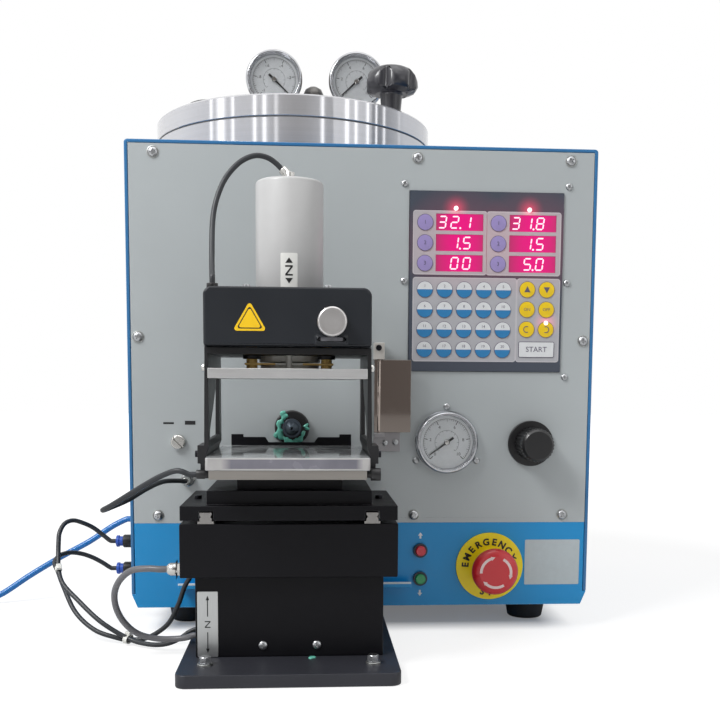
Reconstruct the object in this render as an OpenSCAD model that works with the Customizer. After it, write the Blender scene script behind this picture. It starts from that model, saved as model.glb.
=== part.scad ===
// Vacuum wax injector: a heated wax pot with a vacuum lid in a sheet metal cabinet,
// and in front of its nozzle a clamp that lifts, slides and presses the mould.
// Millimetres. +X is to the right, +Y to the back and +Z up, with the table at 0.

/* [Cabinet] */
// Width of the cabinet
cabinet_w = 404; // [390:1:460]
// Height of the cabinet without its feet
cabinet_h = 399; // [390:1:440]
// Depth of the cabinet
cabinet_d = 340; // [320:1:400]
// Thickness of the folded cover and of the tray
cover_t = 3; // [2:0.5:4]
// Thickness of the front and rear panels
panel_t = 2; // [1.5:0.5:3]
// Height of the fascia below the front panel
fascia_h = 74.6; // [70:0.2:78]
// Width of the chamfer under the tray
tray_chamfer_w = 5; // [3:0.5:8]
// Height of the chamfer under the tray
tray_chamfer_h = 12; // [8:0.5:16]
// Depth to which the rear panel is set in
rear_recess = 6; // [4:0.5:10]
// Height of a rubber foot
foot_h = 22; // [18:1:28]
// Diameter of a rubber foot at its top
foot_d = 40; // [30:1:44]
// Distance of a foot's centre from the side
foot_side = 44; // [36:1:60]
// Distance of a foot's centre from the front and the back
foot_end = 51; // [48:1:70]

/* [Front panel] */
// Distance of the corner screws from the side
screw_side = 24; // [20:0.5:28]
// Distance of the side screws from the side
screw_mid_side = 9.3; // [9:0.1:12]
// Height of the side screws above the tray
screw_mid_h = 235; // [200:1:260]
// Distance of the two middle screws from the right side
screw_inner_side = 156.8; // [152:0.1:162]
// Distance of the top screws from the top
screw_top = 10.5; // [10:0.1:14]
// Distance of the lower screws from the seam
screw_seam = 6.7; // [6:0.1:9]
// Head diameter of a panel screw
screw_head_d = 10; // [8:0.5:11]
// Width of the flanges behind the panel
flange_w = 32; // [32:1:38]
// Distance of the controller from the right side
overlay_side = 29.6; // [24:0.1:32]
// Distance of the controller below the cabinet's top
overlay_drop = 38; // [34:0.1:40]
// Width of the controller's face
overlay_w = 133.7; // [133:0.1:138]
// Height of the controller's face
overlay_h = 153.1; // [153:0.1:156]
// Depth of the controller's housing
housing_d = 46; // [30:1:60]
// Diameter of a key
key_d = 13.8; // [10:0.1:14.5]
// Pitch of the keys
key_pitch = 17.1; // [16:0.1:17.4]
// Distance of the panel gauge from the right side
gauge_side = 128.9; // [126:0.1:134]
// Level of the panel gauge between the seam and the controller
gauge_level = 0.534; // [0.52:0.002:0.55]
// Diameter of a gauge's bezel
gauge_d = 54.3; // [50:0.1:56]
// Distance of the regulator from the right side
regulator_side = 54.3; // [48:0.1:60]
// Level of the regulator between the seam and the controller
regulator_level = 0.528; // [0.5:0.002:0.55]
// Diameter of the regulator's flange
regulator_d = 40; // [36:0.5:44]
// Diameter of the regulator's knob
regulator_knob_d = 29; // [24:0.5:34]
// Distance of the emergency stop from the right side
estop_side = 88.8; // [84:0.1:94]
// Height of the emergency stop above the tray
estop_rise = 35.4; // [34:0.1:38]
// Diameter of the emergency stop's yellow disc
estop_disc_d = 60; // [56:0.5:64]
// Diameter of the emergency stop's head
estop_head_d = 40; // [34:0.5:44]
// Travel of the emergency stop
estop_travel = 6; // [4:0.5:7]
// Distance of the two push buttons from the right side
button_side = 150.8; // [146:0.1:156]
// Height of the green button above the tray
green_rise = 24.5; // [22:0.1:27]
// Height of the red button above the tray
red_rise = 49.7; // [46:0.1:52]
// Diameter of a push button
button_d = 9; // [7:0.1:9.4]
// Diameter of a push button's bezel
button_bezel_d = 12.6; // [12.5:0.1:15]
// Travel of a push button
button_travel = 2.5; // [1.5:0.1:2.8]
// Distance of the dose screw from the left side
dose_side = 42.2; // [40:0.1:50]
// Height of the dose screw above the tray
dose_rise = 145.4; // [140:0.1:152]
// Diameter of the dose screw
dose_d = 12.5; // [10:0.1:14]

/* [Wax pot and lid] */
// Distance of the pot's axis from the front panel
pot_y = 147; // [144:0.5:160]
// Inner radius of the pot
pot_r = 80; // [74:0.5:80]
// Wall of the pot
pot_wall = 8; // [6:0.5:8]
// Depth of the pot's underside below the nozzle
pot_below = 20.2; // [19:0.1:24]
// Radius of the lid and of the pot's flange
lid_r = 133; // [130:0.5:135]
// Height of the pot's flange
pot_flange_h = 25.4; // [20:0.2:30]
// Height of the lid
lid_h = 19; // [15:0.2:24]
// Thickness of the lid's seal
seal_d = 4.2; // [3.6:0.1:4.4]
// Radius at which the lid's hand knobs stand
lid_knob_r = 110; // [108:0.5:114]
// Angle of the front hand knob
lid_knob_angle = -34; // [-40:1:-28]
// Diameter of a hand knob
lid_knob_d = 50; // [44:0.5:52]
// Height of a hand knob's neck
lid_knob_neck_h = 21.5; // [18:0.5:26]
// Diameter of a hand knob's stud
lid_stud_d = 10; // [8:0.2:11]
// Distance of the vacuum gauge to the left of the pot's axis
vacuum_gauge_x = 19; // [16:0.5:22]
// Distance of the pressure gauge to the right of the pot's axis
pressure_gauge_x = 61; // [56:0.5:66]
// Distance of the lid gauges in front of the pot's axis
lid_gauge_front = 15; // [10:0.5:20]
// Height of the lid gauges above the lid
lid_gauge_rise = 46; // [40:0.5:52]
// Height of the relief valve
relief_h = 45; // [36:0.5:50]
// Diameter of the relief valve's cap
relief_d = 20; // [16:0.2:20]

/* [Nozzle and mirror] */
// Place of the nozzle and of the clamp
nozzle_x = -62; // [-66:0.5:-58]
// Height of the nozzle above the tray
nozzle_rise = 158.2; // [157:0.1:162]
// Diameter of the nozzle's flange
nozzle_flange_d = 30; // [26:0.5:34]
// Diameter of the nozzle's stem
nozzle_stem_d = 12; // [10:0.1:12]
// Travel of the nozzle's tip
nozzle_travel = 4; // [2:0.1:4]
// Left edge of the mirror
mirror_x = 8.6; // [8:0.1:11]
// Width of the mirror
mirror_w = 31.8; // [28:0.1:34]
// Height of the mirror
mirror_h = 62.3; // [56:0.1:64]
// Height of the mirror's lower edge above the tray
mirror_rise = 154.7; // [152:0.1:160]

/* [Clamp tower] */
// Width of the base plate
base_w = 164; // [163:1:170]
// Front edge of the base plate
base_front = -158; // [-166:1:-150]
// Back edge of the base plate
base_back = 30; // [24:1:30]
// Thickness of the base plate
base_t = 10; // [8:0.5:12]
// Distance of the base plate's bolts from the middle
bolt_x = 62.5; // [50:0.5:66]
// Width of the tower
tower_w = 143; // [136:1:145]
// Front of the tower
tower_front = -113; // [-116:0.5:-110]
// Back of the tower
tower_back = -17; // [-20:0.5:-17]
// Height of the tower's top above the tray's underside
tower_rise = 68; // [66:0.5:70]
// Sheet thickness of the tower and its skirt
tower_t = 2; // [1.5:0.1:2.4]
// Gap between the tower and its skirt
skirt_gap = 8; // [7:0.1:8.4]
// Height of the skirt
skirt_h = 40.7; // [36:0.1:42]
// Distance that the clamp can sink
lift_down = 20; // [16:0.5:22]
// Diameter of the lift's ram
lift_ram_d = 16; // [12:0.5:18]
// Diameter of the lift's guide rods
lift_guide_d = 12; // [10:0.5:13]
// Distance of the guide rods from the ram
lift_guide_x = 22; // [20:0.5:24]

/* [Carriage] */
// Half of the distance between the rails
rail_x = 62; // [60:0.5:63]
// Width of a rail
rail_w = 9; // [8:0.1:10]
// Height of a rail
rail_h = 6.5; // [6:0.1:7]
// Height from a rail's foot to its block's top
block_h = 10; // [9.5:0.1:12]
// Width of a block
block_w = 20; // [18:0.5:21]
// Length of a block
block_l = 40; // [34:0.5:42]
// Distance that the carriage slides to the nozzle
slide_travel = 16; // [10:0.5:16]
// Sheet thickness of the carriage's tray
tray_t = 1.5; // [1:0.1:2]
// Width of the carriage's plate
plate_w = 124; // [110:1:130]
// Thickness of the carriage's plate
plate_h = 10.5; // [8:0.1:12]
// Width of the riser under the mould bed
riser_w = 80; // [60:1:100]
// Height of the riser
riser_h = 13.4; // [12:0.1:15]
// Width of the mould bed
bed_w = 110; // [106:0.5:112]
// Front of the mould bed
bed_front = -166; // [-168:0.5:-164]
// Back of the mould bed
bed_back = -31; // [-34:0.5:-31]
// Thickness of the mould bed
bed_t = 6.5; // [6:0.1:8]
// Thickness of the acrylic plate
acrylic_t = 8.9; // [7:0.1:10]
// Overhang of the acrylic plate at each side
acrylic_over = 2.3; // [1:0.1:3]

/* [Press] */
// Open height between the acrylic plate and the clamp plate
press_open = 54.7; // [52:0.1:58]
// Travel of the clamp plate
press_travel = 36; // [25:0.5:38]
// Thickness of the clamp plate
clamp_plate_t = 7; // [6:0.1:8]
// Front of the press frame
frame_front = -152; // [-153:0.5:-150]
// Back of the press frame
frame_back = -54; // [-58:0.5:-52]
// Thickness of the press frame's bridge
bridge_t = 4.8; // [4:0.1:6]
// Gap between the clamp plate and the bridge
bridge_gap = 10; // [9:0.1:12]
// Diameter of the press rod
press_rod_d = 16; // [12:0.2:18]
// Diameter of a guide pin
guide_pin_d = 8; // [6:0.1:10]
// Distance of a guide pin from the middle
guide_pin_x = 27.3; // [27:0.1:30]
// Diameter of the air cylinder
cylinder_d = 50.6; // [46:0.2:51]
// Axis of the air cylinder
cylinder_y = -99; // [-100:0.5:-99]
// Height of the air cylinder
cylinder_h = 123.7; // [110:0.5:130]
// Height of the head's cover
head_h = 40.7; // [38:0.1:46]
// Width of the head's cover
head_w = 115.5; // [112:0.5:116.5]
// Diameter of the head's knob
head_knob_d = 20; // [16:0.2:22]
// Length of the head's knob
head_knob_l = 13; // [10:0.5:16]

/* [Fits and hoses] */
// Running clearance of a shaft in its bore, on the radius
run_fit = 0.05; // [0.02:0.01:0.1]
// Clearance of a fixed piece in its hole
fix_fit = 0.3; // [0.2:0.05:0.4]
// Diameter of the air hoses
hose_d = 4; // [3:0.1:4]
// Diameter of the lift's cable
cable_d = 5; // [4:0.1:5]
// Diameter of the supply hose
supply_d = 6; // [5:0.1:6]
// Pitch of the loops in the coiled supply hose
coil_pitch = 6.6; // [6.5:0.1:7]
// Radius of the coil's innermost loop
coil_r = 24.5; // [24:0.5:28]

/* [Hidden] */
$fn = 64;

// Heights and places of the cabinet
tray_z = foot_h;
chamfer_z = tray_z + tray_chamfer_h;
seam_z = tray_z + fascia_h;
cabinet_top = tray_z + cabinet_h;
side_x = cabinet_w / 2;
inside_x = side_x - cover_t;
floor_z = tray_z + cover_t;
rear_y = cabinet_d - rear_recess;
louvre_h = 80;
louvre_w = 6;
louvre_drop = 69;
louvre_pitch = 12;
flange_t = 2;
screw_d = 4;
screw_fit = 0.2;
screw_head_h = 2.4;
small_head_d = 6;
tray_flange_z = seam_z - 6;

// Places of the screws that hold the front panel
panel_screws = concat(
    [for (s = [-1, 1]) [s * (side_x - screw_side), cabinet_top - screw_top]],
    [for (s = [-1, 1]) [s * (side_x - screw_mid_side), tray_z + screw_mid_h]],
    [for (s = [-1, 1]) [s * (side_x - screw_side), seam_z + screw_seam]],
    [for (z = [cabinet_top - screw_top, seam_z + screw_seam]) [side_x - screw_inner_side, z]]
);

// Controller
overlay_x = side_x - overlay_side - overlay_w;
overlay_z = cabinet_top - overlay_drop - overlay_h;
overlay_front = 1.5;
key_h = 0.5;
window_depth = 0.5;
controller_margin = 9.5;
controller_screw_in = 4.5;
controller_screw_rows = [4.5, 86, 168];
blue_keys = [for (i = [0:4], j = [0:3]) [13.6 + i * key_pitch, 18.7 + j * key_pitch]];
yellow_keys = [for (i = [0:1], j = [0:2]) [103.1 + i * key_pitch, 36.6 + j * key_pitch]];
display_keys = [for (x = [13.3, 76.8], j = [0:2]) [x, 92.2 + j * 17.25]];
display_windows = [for (x = [22.6, 86.4], j = [0:2]) [x, 85.4 + j * 17.3]];
window_size = [41, 14.2];
start_key = [96.7, 12.6, 30.8, 13.2];

// Gauges, in a frame with +Z towards the reader
gauge_r = gauge_d / 2;
gauge_front = 9;
dial_z = 3;
dial_r = gauge_r - 3.75;
lens_z = 6;
lens_t = 1.2;
lens_r = dial_r + 0.8;
pointer_z = dial_z + 0.4;
pointer_t = 1.2;
pointer_pin_r = 1;
pointer_pin_l = 2.4;
gauge_back = 24;
panel_gauge_screw_r = gauge_r + 4.2;
gauge_screw_angles = [90, 211, 329];
gauge_x = side_x - gauge_side;
panel_gauge_z = panel_level(gauge_level);
panel_gauge_angle = -126;
gauge_flange_r = gauge_r + 6.6;
lid_gauge_x = [-vacuum_gauge_x, pressure_gauge_x];
lid_gauge_angles = [133, -132];

// Regulator, emergency stop and buttons
regulator_x = side_x - regulator_side;
regulator_z = panel_level(regulator_level);
regulator_flange_t = 4;
regulator_stem_r = 5;
regulator_neck_r = 14;
regulator_knob_l = 27;
regulator_gap = 0.6;
regulator_back = 60;
regulator_box = [44, 36];
estop_x = side_x - estop_side;
estop_z = tray_z + estop_rise;
estop_disc_t = 2;
estop_collar_r = 15;
estop_collar_l = 8;
estop_body_r = 11;
estop_stem_r = 6;
estop_spigot_r = 4;
estop_neck = 16;
estop_block = [30, 34];
estop_head_l = 15;
estop_front = estop_disc_t + estop_collar_l + estop_travel + 1;
button_r = button_d / 2;
button_body_r = button_r + 1.1;
bezel_l = 3;
button_body_l = 14;
button_x = side_x - button_side;
button_heights = [tray_z + red_rise, tray_z + green_rise];
dose_x = dose_side - side_x;
dose_z = tray_z + dose_rise;

// Nozzle, pot and lid
nozzle_z = tray_z + nozzle_rise;
nozzle_stem_r = nozzle_stem_d / 2;
nozzle_flange_l = 6;
feed_r = nozzle_stem_r + 6;
feed_boss = 7;
feed_seat = 30;
wax_bore_r = 1;
channel_r = 3;
pot_z = nozzle_z - pot_below;
pot_outer_r = pot_r + pot_wall;
feed_l = pot_y - pot_outer_r - feed_boss;
pot_dish = 18;
seal_r = pot_outer_r + 0.5;
pot_top = cabinet_top + pot_flange_h;
groove_depth = seal_d + 0.4;
lid_top = pot_top + lid_h;
spigot_h = 6;
spigot_gap = 0.6;
lid_stud_r = lid_stud_d / 2;
lid_stud_in = 15;
lid_knob_l = 24;
heater_rise = 45;
heater_h = 95;
heater_t = 2.7;
fitting_stub_r = 5;
lid_gauge_z = lid_top + lid_gauge_rise;
relief_x = 19;
lid_knobs = [for (a = [0, 180]) lid_knob_r * [cos(lid_knob_angle + a), sin(lid_knob_angle + a)]];

// Pump and mains inlet
pump_r = 36;
pump_foot = [120, 68];
pump_foot_t = 4;
pump_x = side_x - pump_foot[0] * 0.7;
pump_y = cabinet_d - 90;
pump_head_w = 24;
pump_fin_pitch = 5;
inlet_side = 72;
inlet_x = inlet_side - side_x;
inlet_z = tray_z + 48;
inlet_w = 28;
inlet_h = 21;

// Mirror
mirror_z = tray_z + mirror_rise;
mirror_top = mirror_z + mirror_h;
mirror_t = 2;
mirror_pin_x = mirror_x + 4;
mirror_pin_y = -8;
mirror_pin_r = 1.5;
mirror_pin_in = 4;
mirror_gap = 0.4;
mirror_arm = 14;
mirror_arm_w = 8.8;
mirror_foot_w = 23.4;
mirror_foot_h = 16.8;

// Clamp heights, from the base plate upwards
tower_top = tray_z + tower_rise;
lift_gap = 2;
skirt_top = tower_top + lift_down + lift_gap + tower_t;
skirt_grow = skirt_gap + tower_t;
skirt_w = tower_w + 2 * skirt_grow;
skirt_front = tower_front - skirt_grow;
skirt_back = tower_back + skirt_grow;
lift_y = (tower_front + tower_back) / 2;
lift_block = [64, 50];
lift_sink = 4;
rod_start = base_t + lift_sink + lift_gap + lift_down;
gland_y = skirt_front + 15;
gland_z = skirt_top - skirt_h + 4.2;
gland_r = 3.6;
gland_l = 10.5;
bolt_front = base_front + 25;
bolt_back = 8;
tower_screw_x = 20.5;
rail_pad = 2;
rail_z = skirt_top + rail_pad;
rail_front = skirt_front + 0.5;
rail_back = skirt_back - 1;
block_top = rail_z + block_h;
block_y = [-97, -47];
block_fit = 0.3;
tray_top = block_top + tray_t;
tray_w = skirt_w - 1;
tray_back = -20;
tray_flange_h = 11;
plate_top = tray_top + plate_h;
bed_z = plate_top + riser_h;
acrylic_z = bed_z + bed_t;
acrylic_top = acrylic_z + acrylic_t;
acrylic_w = bed_w + 2 * acrylic_over;
fence_t = 3;

// Press heights
clamp_z = acrylic_top + press_open;
clamp_top = clamp_z + clamp_plate_t;
bridge_z = clamp_top + bridge_gap;
bridge_top = bridge_z + bridge_t;
disc_d = 46;
disc_t = 4.5;
rod_foot_h = bridge_gap - disc_t - 1;
guide_bar_t = 1.5;
frame_half = bed_w / 2 + 3.5;
leg_t = 2.6;
leg_back = 16;
rod_r = press_rod_d / 2;
guide_r = guide_pin_d / 2;
guide_y = -120;
guide_bush_r = guide_r + 2.5;
guide_bush_h = 2.6;
marker_r = 2;
marker_y = -126.5;
rod_rise = 56.7;
rod_top = bridge_top + rod_rise;
marker_drop = 20;
head_t = 2;
head_front = bed_front;
head_back = cylinder_y + cylinder_d / 2 + 3.7;
head_top = bridge_top + head_h;
head_chamfer = 3.5;
head_knob_x = 30;
head_knob_z = bridge_top + 16.7;
head_spindle_r = 3;
head_knob_gap = 1;
cylinder_r = cylinder_d / 2;
cylinder_top = bridge_top + cylinder_h;
elbow_z = cylinder_top + 4;
elbow_r = 3.4;
elbow_l = 8;
grommet_x = -52.5;
grommet_y = -152;
grommet_h = 3;

// The frame's origin lies under the middle between the head's knob and the cabinet's back
reach_front = head_front - head_knob_gap - head_knob_l;
frame_y = (reach_front + cabinet_d) / 2;

// Routes of the hoses and cables, measured from the front panel's face
fitting_y = 40;
fitting_z = [74.5, 49.5];
fitting_l = 20;
hose_upper_route = [
    [-222, 40, 74.5], [-227, 40, 74.5], [-234, 40, 80], [-242, 38, 87], [-250, 34, 92],
    [-258, 30, 95], [-264, 24, 93], [-267, 18, 86], [-267, 14, 79], [-266, 8, 68],
    [-264, 0, 57], [-258, -10, 46], [-243, -22, 34.5], [-221, -36, 19], [-198, -41, 6],
    [-181, -50, 3.5], [-166, -57, 5], [-154, -59, 9.5], [-145, -58.5, 15.5], [-138, -58, 18],
    [-133.5, -58, 18]
];
hose_lower_route = [
    [-222, 40, 49.5], [-227, 40, 49.5], [-235, 39, 55], [-243, 37, 60], [-252, 34, 64],
    [-261, 29, 66], [-268, 21, 65], [-271, 14, 60], [-266, 6, 53], [-260, 0, 41],
    [-247, -14, 22], [-228, -28, 10], [-208, -34, 4.5], [-199, -35.5, 3.5], [-183, -39, 5.5],
    [-165, -45, 18], [-155, -50, 36], [-149, -53.5, 52], [-142, -56, 64], [-138, -57.5, 73],
    [-137.5, -58, 82], [-137.5, -58, 97], [-137.5, -58, 107], [-137.5, -58, 112]
];
lift_cable_route = [
    [-154, -108, 77.5], [-160, -108, 77.5], [-170, -105.5, 77.5], [-183, -100, 75],
    [-193, -94, 66.5], [-198.5, -88, 55], [-198.5, -83, 42], [-193.5, -78, 29], [-184, -73, 18.5],
    [-170, -70, 13.5], [-156, -70, 13], [-146, -72, 14.5], [-139.5, -74, 17], [-133.5, -74, 17]
];
platform_cable_route = [
    [-126, -159, 154.5], [-131, -159, 154.5], [-140, -158, 157], [-155, -150, 151],
    [-175, -138, 139], [-191, -128.5, 129], [-199, -121, 124.5], [-196, -112, 125],
    [-184.5, -99, 129.5], [-175, -75, 135], [-167, -45, 137.5], [-157, -27, 136.5],
    [-152, -18, 135], [-152, -12, 135]
];
cylinder_hose_route = [
    [-67.7, -99, 376.7], [-71.3, -99, 380.3], [-78.5, -100.5, 384.6], [-88, -104, 384.8],
    [-98.5, -108.7, 378.5], [-108, -113, 366.5], [-114, -118, 351], [-116.5, -124.5, 334],
    [-116, -138, 308], [-115, -148, 295], [-114.5, -152, 291.5], [-114.5, -152, 287]
];
supply_route = [
    [-226, 150, 79], [-233, 150, 79], [-249, 149, 71], [-270, 145, 57], [-298, 136, 42],
    [-325, 125, 26], [-351, 117.5, 9], [-370, 115.5, 3.5], [-381, 115.5, 3], [-388, 115.5, 3]
];
supply_fitting = [150, 79];
connector_at = [-152, 135];
connector_l = 12;

// Coil of the supply hose: two layers, in along the lower one and out along the upper one
coil_turns = 3.375;
coil_steps = 24;
coil_outer_r = coil_r + coil_turns * coil_pitch;
coil_centre = [-395, 115.5 - coil_outer_r];
coil_low = supply_d / 2;
climb_dip = 1.2;
coil_in = coil_turns * coil_steps;
coil_half = coil_steps / 2;
coupler_r = 7;
coupler_l = 45;
coupler_y = coil_centre[1] - 50;
coil_x = coil_centre[0] - coil_outer_r;

function clamped(v, low, high) = min(max(v, low), high);
function coil_share(i) = i <= coil_in ? i / coil_in
    : i <= coil_in + coil_half ? 1
    : 1 - (i - coil_in - coil_half) / coil_in;
function coil_point(i) =
    let (
        turn = 90 + i * 360 / coil_steps,
        climb = clamped((i - coil_in) / coil_half, 0, 1),
        radius = coil_outer_r - coil_share(i) * coil_turns * coil_pitch - climb_dip * sin(180 * climb)
    )
    [
        coil_centre[0] + radius * cos(turn),
        coil_centre[1] + radius * sin(turn),
        coil_low + climb * coil_pitch
    ];
coil_loops = [for (i = [0:2 * coil_in + coil_half]) coil_point(i)];
coil_path = concat(
    [[-388, 115.5, coil_low]],
    coil_loops,
    [for (d = [10:10:40]) [coil_x, coil_centre[1] - d, coil_low + coil_pitch - d * 0.065]],
    [[coil_x, coupler_y + supply_d, coupler_r], [coil_x, coupler_y, coupler_r]]
);
coil_least_gap = min([
    for (i = [0:len(coil_path) - 1], j = [i + coil_half:1:len(coil_path) - 1])
    norm(coil_path[i] - coil_path[j])
]) - supply_d;
echo(coil_least_gap = coil_least_gap);

// Tubes swept along a route
function spline(a, b, c, d, t) =
    0.5 * (2 * b + (c - a) * t + (2 * a - 5 * b + 4 * c - d) * t * t + (3 * b - a - 3 * c + d) * t * t * t);
function route_point(r, i, t) =
    let (n = len(r) - 1)
    i == 0 || i == n - 1 ? r[i] + (r[i + 1] - r[i]) * t
    : spline(r[i - 1], r[i], r[i + 1], r[i + 2], t);
function smooth(r, step) = concat(
    [
        for (i = [0:len(r) - 2])
        let (n = max(1, round(norm(r[i + 1] - r[i]) / step)))
        for (k = [0:n - 1]) route_point(r, i, k / n)
    ],
    [r[len(r) - 1]]
);
function unit(v) = v / norm(v);
function tangents(p) = [
    for (i = [0:len(p) - 1])
    i == 0 ? unit(p[1] - p[0])
    : i == len(p) - 1 ? unit(p[i] - p[i - 1])
    : unit(unit(p[i + 1] - p[i]) + unit(p[i] - p[i - 1]))
];
function square_to(n, t) = unit(n - (n * t) * t);
function normals(t) = [
    for (
        i = 0, n = square_to([0.1, 0.2, 1], t[0]);
        i < len(t);
        i = i + 1, n = i < len(t) ? square_to(n, t[i]) : n
    ) n
];

module tube(path, d, sides) {
    t = tangents(path);
    n = normals(t);
    rings = len(path);
    points = [
        for (i = [0:rings - 1], k = [0:sides - 1])
        path[i] + d / 2 * (cos(k * 360 / sides) * n[i] + sin(k * 360 / sides) * cross(t[i], n[i]))
    ];
    walls = [
        for (i = [0:rings - 2], k = [0:sides - 1], h = [0, 1])
        let (a = i * sides + k, b = i * sides + (k + 1) % sides)
        h == 0 ? [a, a + sides, b] : [b, a + sides, b + sides]
    ];
    caps = [
        for (k = [1:sides - 2], h = [0, 1])
        let (e = (rings - 1) * sides)
        h == 0 ? [0, k, k + 1] : [e, e + k + 1, e + k]
    ];
    polyhedron(points, concat(walls, caps), convexity = 10);
}

module hose(route, d, sides) {
    tube(smooth(route, 2.5 * d), d, sides);
}

// Placing helpers
module from_panel() {
    translate([0, -frame_y, 0]) children();
}

module at_clamp() {
    from_panel() translate([nozzle_x, 0, 0]) children();
}

module at_pot() {
    from_panel() translate([nozzle_x, pot_y, 0]) children();
}

module at_panel(x, z) {
    from_panel() translate([x, 0, z]) rotate([90, 0, 0]) children();
}

module along_y(y0, y1) {
    translate([0, y1, 0]) rotate([90, 0, 0]) linear_extrude(y1 - y0) children();
}

module along_x(x0, x1) {
    translate([x0, 0, 0]) rotate([90, 0, 90]) linear_extrude(x1 - x0) children();
}

module x_rod(r, x0, x1) {
    translate([x0, 0, 0]) rotate([0, 90, 0]) cylinder(r = r, h = x1 - x0);
}

module y_rod(r, y0, y1) {
    translate([0, y0, 0]) rotate([-90, 0, 0]) cylinder(r = r, h = y1 - y0);
}

module block(x0, x1, y0, y1, z0, z1) {
    translate([x0, y0, z0]) cube([x1 - x0, y1 - y0, z1 - z0]);
}

module frame_2d(x0, x1, z0, z1) {
    translate([x0, z0]) square([x1 - x0, z1 - z0]);
}

module rounded(w, h, r) {
    translate([r, 0]) square([w - 2 * r, h]);
    translate([0, r]) square([w, h - 2 * r]);
    for (x = [r, w - r], y = [r, h - r]) translate([x, y]) circle(r);
}

module both_sides() {
    children();
    mirror([1, 0, 0]) children();
}

// Cabinet

module cabinet_cover() {
    color("royalblue") from_panel() difference() {
        union() {
            along_y(0, cabinet_d) difference() {
                union() {
                    frame_2d(-side_x, side_x, chamfer_z, cabinet_top - cover_t);
                    frame_2d(-inside_x, inside_x, chamfer_z, cabinet_top);
                    for (s = [-1, 1]) translate([s * inside_x, cabinet_top - cover_t]) circle(cover_t);
                }
                frame_2d(-inside_x, inside_x, chamfer_z - 1, cabinet_top - cover_t);
            }
            for (y = [panel_t, rear_y - panel_t - flange_t]) along_y(y, y + flange_t) difference() {
                frame_2d(-inside_x - 1, inside_x + 1, seam_z + fix_fit, cabinet_top - 1);
                frame_2d(-inside_x + flange_w, inside_x - flange_w, seam_z - 1,
                    cabinet_top - cover_t - flange_w / 2);
            }
        }
        translate([nozzle_x, pot_y, cabinet_top - 20]) cylinder(r = pot_outer_r + fix_fit, h = 40);
        panel_screw_holes();
        for (z = fitting_z) translate([0, fitting_y, z]) x_rod(4.2, -side_x - 1, -side_x + 10);
        translate([0, supply_fitting[0], supply_fitting[1]]) x_rod(4.2, -side_x - 1, -side_x + 10);
        controller_room();
    }
}

module panel_screw_holes() {
    for (p = panel_screws) translate([p[0], 0, p[1]]) y_rod(screw_d / 2 + screw_fit, -1, 10);
}

module controller_room() {
    along_y(panel_t - 1, 10) translate([overlay_x, overlay_z])
        frame_2d(-controller_margin - fix_fit, overlay_w + controller_margin + fix_fit,
            -controller_margin - fix_fit, overlay_h + controller_margin + 6 + fix_fit);
}

module front_panel() {
    color("lightsteelblue") from_panel() difference() {
        along_y(0, panel_t) difference() {
            frame_2d(-inside_x + fix_fit, inside_x - fix_fit, seam_z, cabinet_top - cover_t - fix_fit);
            translate([nozzle_x, nozzle_z]) circle(feed_r + fix_fit);
            translate([gauge_x, panel_gauge_z]) circle(gauge_r + fix_fit);
            translate([regulator_x, regulator_z]) circle(regulator_neck_r + fix_fit);
            translate([dose_x, dose_z]) circle(dose_d / 2 + run_fit);
            translate([overlay_x - fix_fit, overlay_z - fix_fit])
                square([overlay_w + 2 * fix_fit, overlay_h + 2 * fix_fit]);
            for (p = controller_screws()) translate(p) circle(screw_d / 2 + screw_fit);
            for (p = gauge_screws()) translate(p) circle(screw_d / 2 + screw_fit);
        }
        panel_screw_holes();
    }
}

function panel_level(share) = seam_z + share * (overlay_z - seam_z);
function controller_screws() = [
    for (x = [-controller_screw_in, overlay_w + controller_screw_in], z = controller_screw_rows)
    [overlay_x + x, overlay_z + z - 9]
];
function gauge_screws() = [
    for (a = gauge_screw_angles)
    [gauge_x + panel_gauge_screw_r * cos(a), panel_gauge_z + panel_gauge_screw_r * sin(a)]
];

module tray_section() {
    low_x = side_x - tray_chamfer_w;
    difference() {
        polygon([[-low_x, tray_z], [low_x, tray_z], [side_x, chamfer_z], [-side_x, chamfer_z]]);
        polygon([
            [cover_t - low_x, floor_z], [low_x - cover_t, floor_z],
            [inside_x, chamfer_z + 1], [-inside_x, chamfer_z + 1]
        ]);
    }
}

module tray_front() {
    low_x = side_x - tray_chamfer_w;
    polygon([[-low_x, tray_z], [low_x, tray_z], [side_x, chamfer_z], [-side_x, chamfer_z]]);
    frame_2d(-inside_x + fix_fit, inside_x - fix_fit, chamfer_z - 1, seam_z);
}

module base_tray() {
    ledge_z = tray_z + 19;
    color("dodgerblue") from_panel() difference() {
        union() {
            along_y(0, cabinet_d) tray_section();
            along_y(0, panel_t) tray_front();
            along_y(panel_t / 2, panel_t + flange_t)
                frame_2d(-inside_x + 1, inside_x - 1, tray_flange_z, seam_z);
            along_y(panel_t, panel_t + flange_t)
                frame_2d(-inside_x + flange_w + 1, inside_x - flange_w - 1, tray_flange_z,
                    seam_z + screw_seam + 8);
            along_x(nozzle_x - 98, nozzle_x + 104)
                polygon([
                    [-14, ledge_z], [1, ledge_z], [1, ledge_z + 2], [-12, ledge_z + 2],
                    [-12, ledge_z + 5], [-14, ledge_z + 5]
                ]);
        }
        translate([estop_x, 0, estop_z]) y_rod(estop_body_r + fix_fit, -1, 9);
        for (z = button_heights) translate([button_x, 0, z]) y_rod(button_body_r + screw_fit, -1, 9);
        panel_screw_holes();
        for (s = [-1, 1]) translate([nozzle_x + s * bolt_x, bolt_back, tray_z - 1])
            cylinder(d = 6 + 2 * fix_fit, h = cover_t + 2);
    }
}

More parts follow.
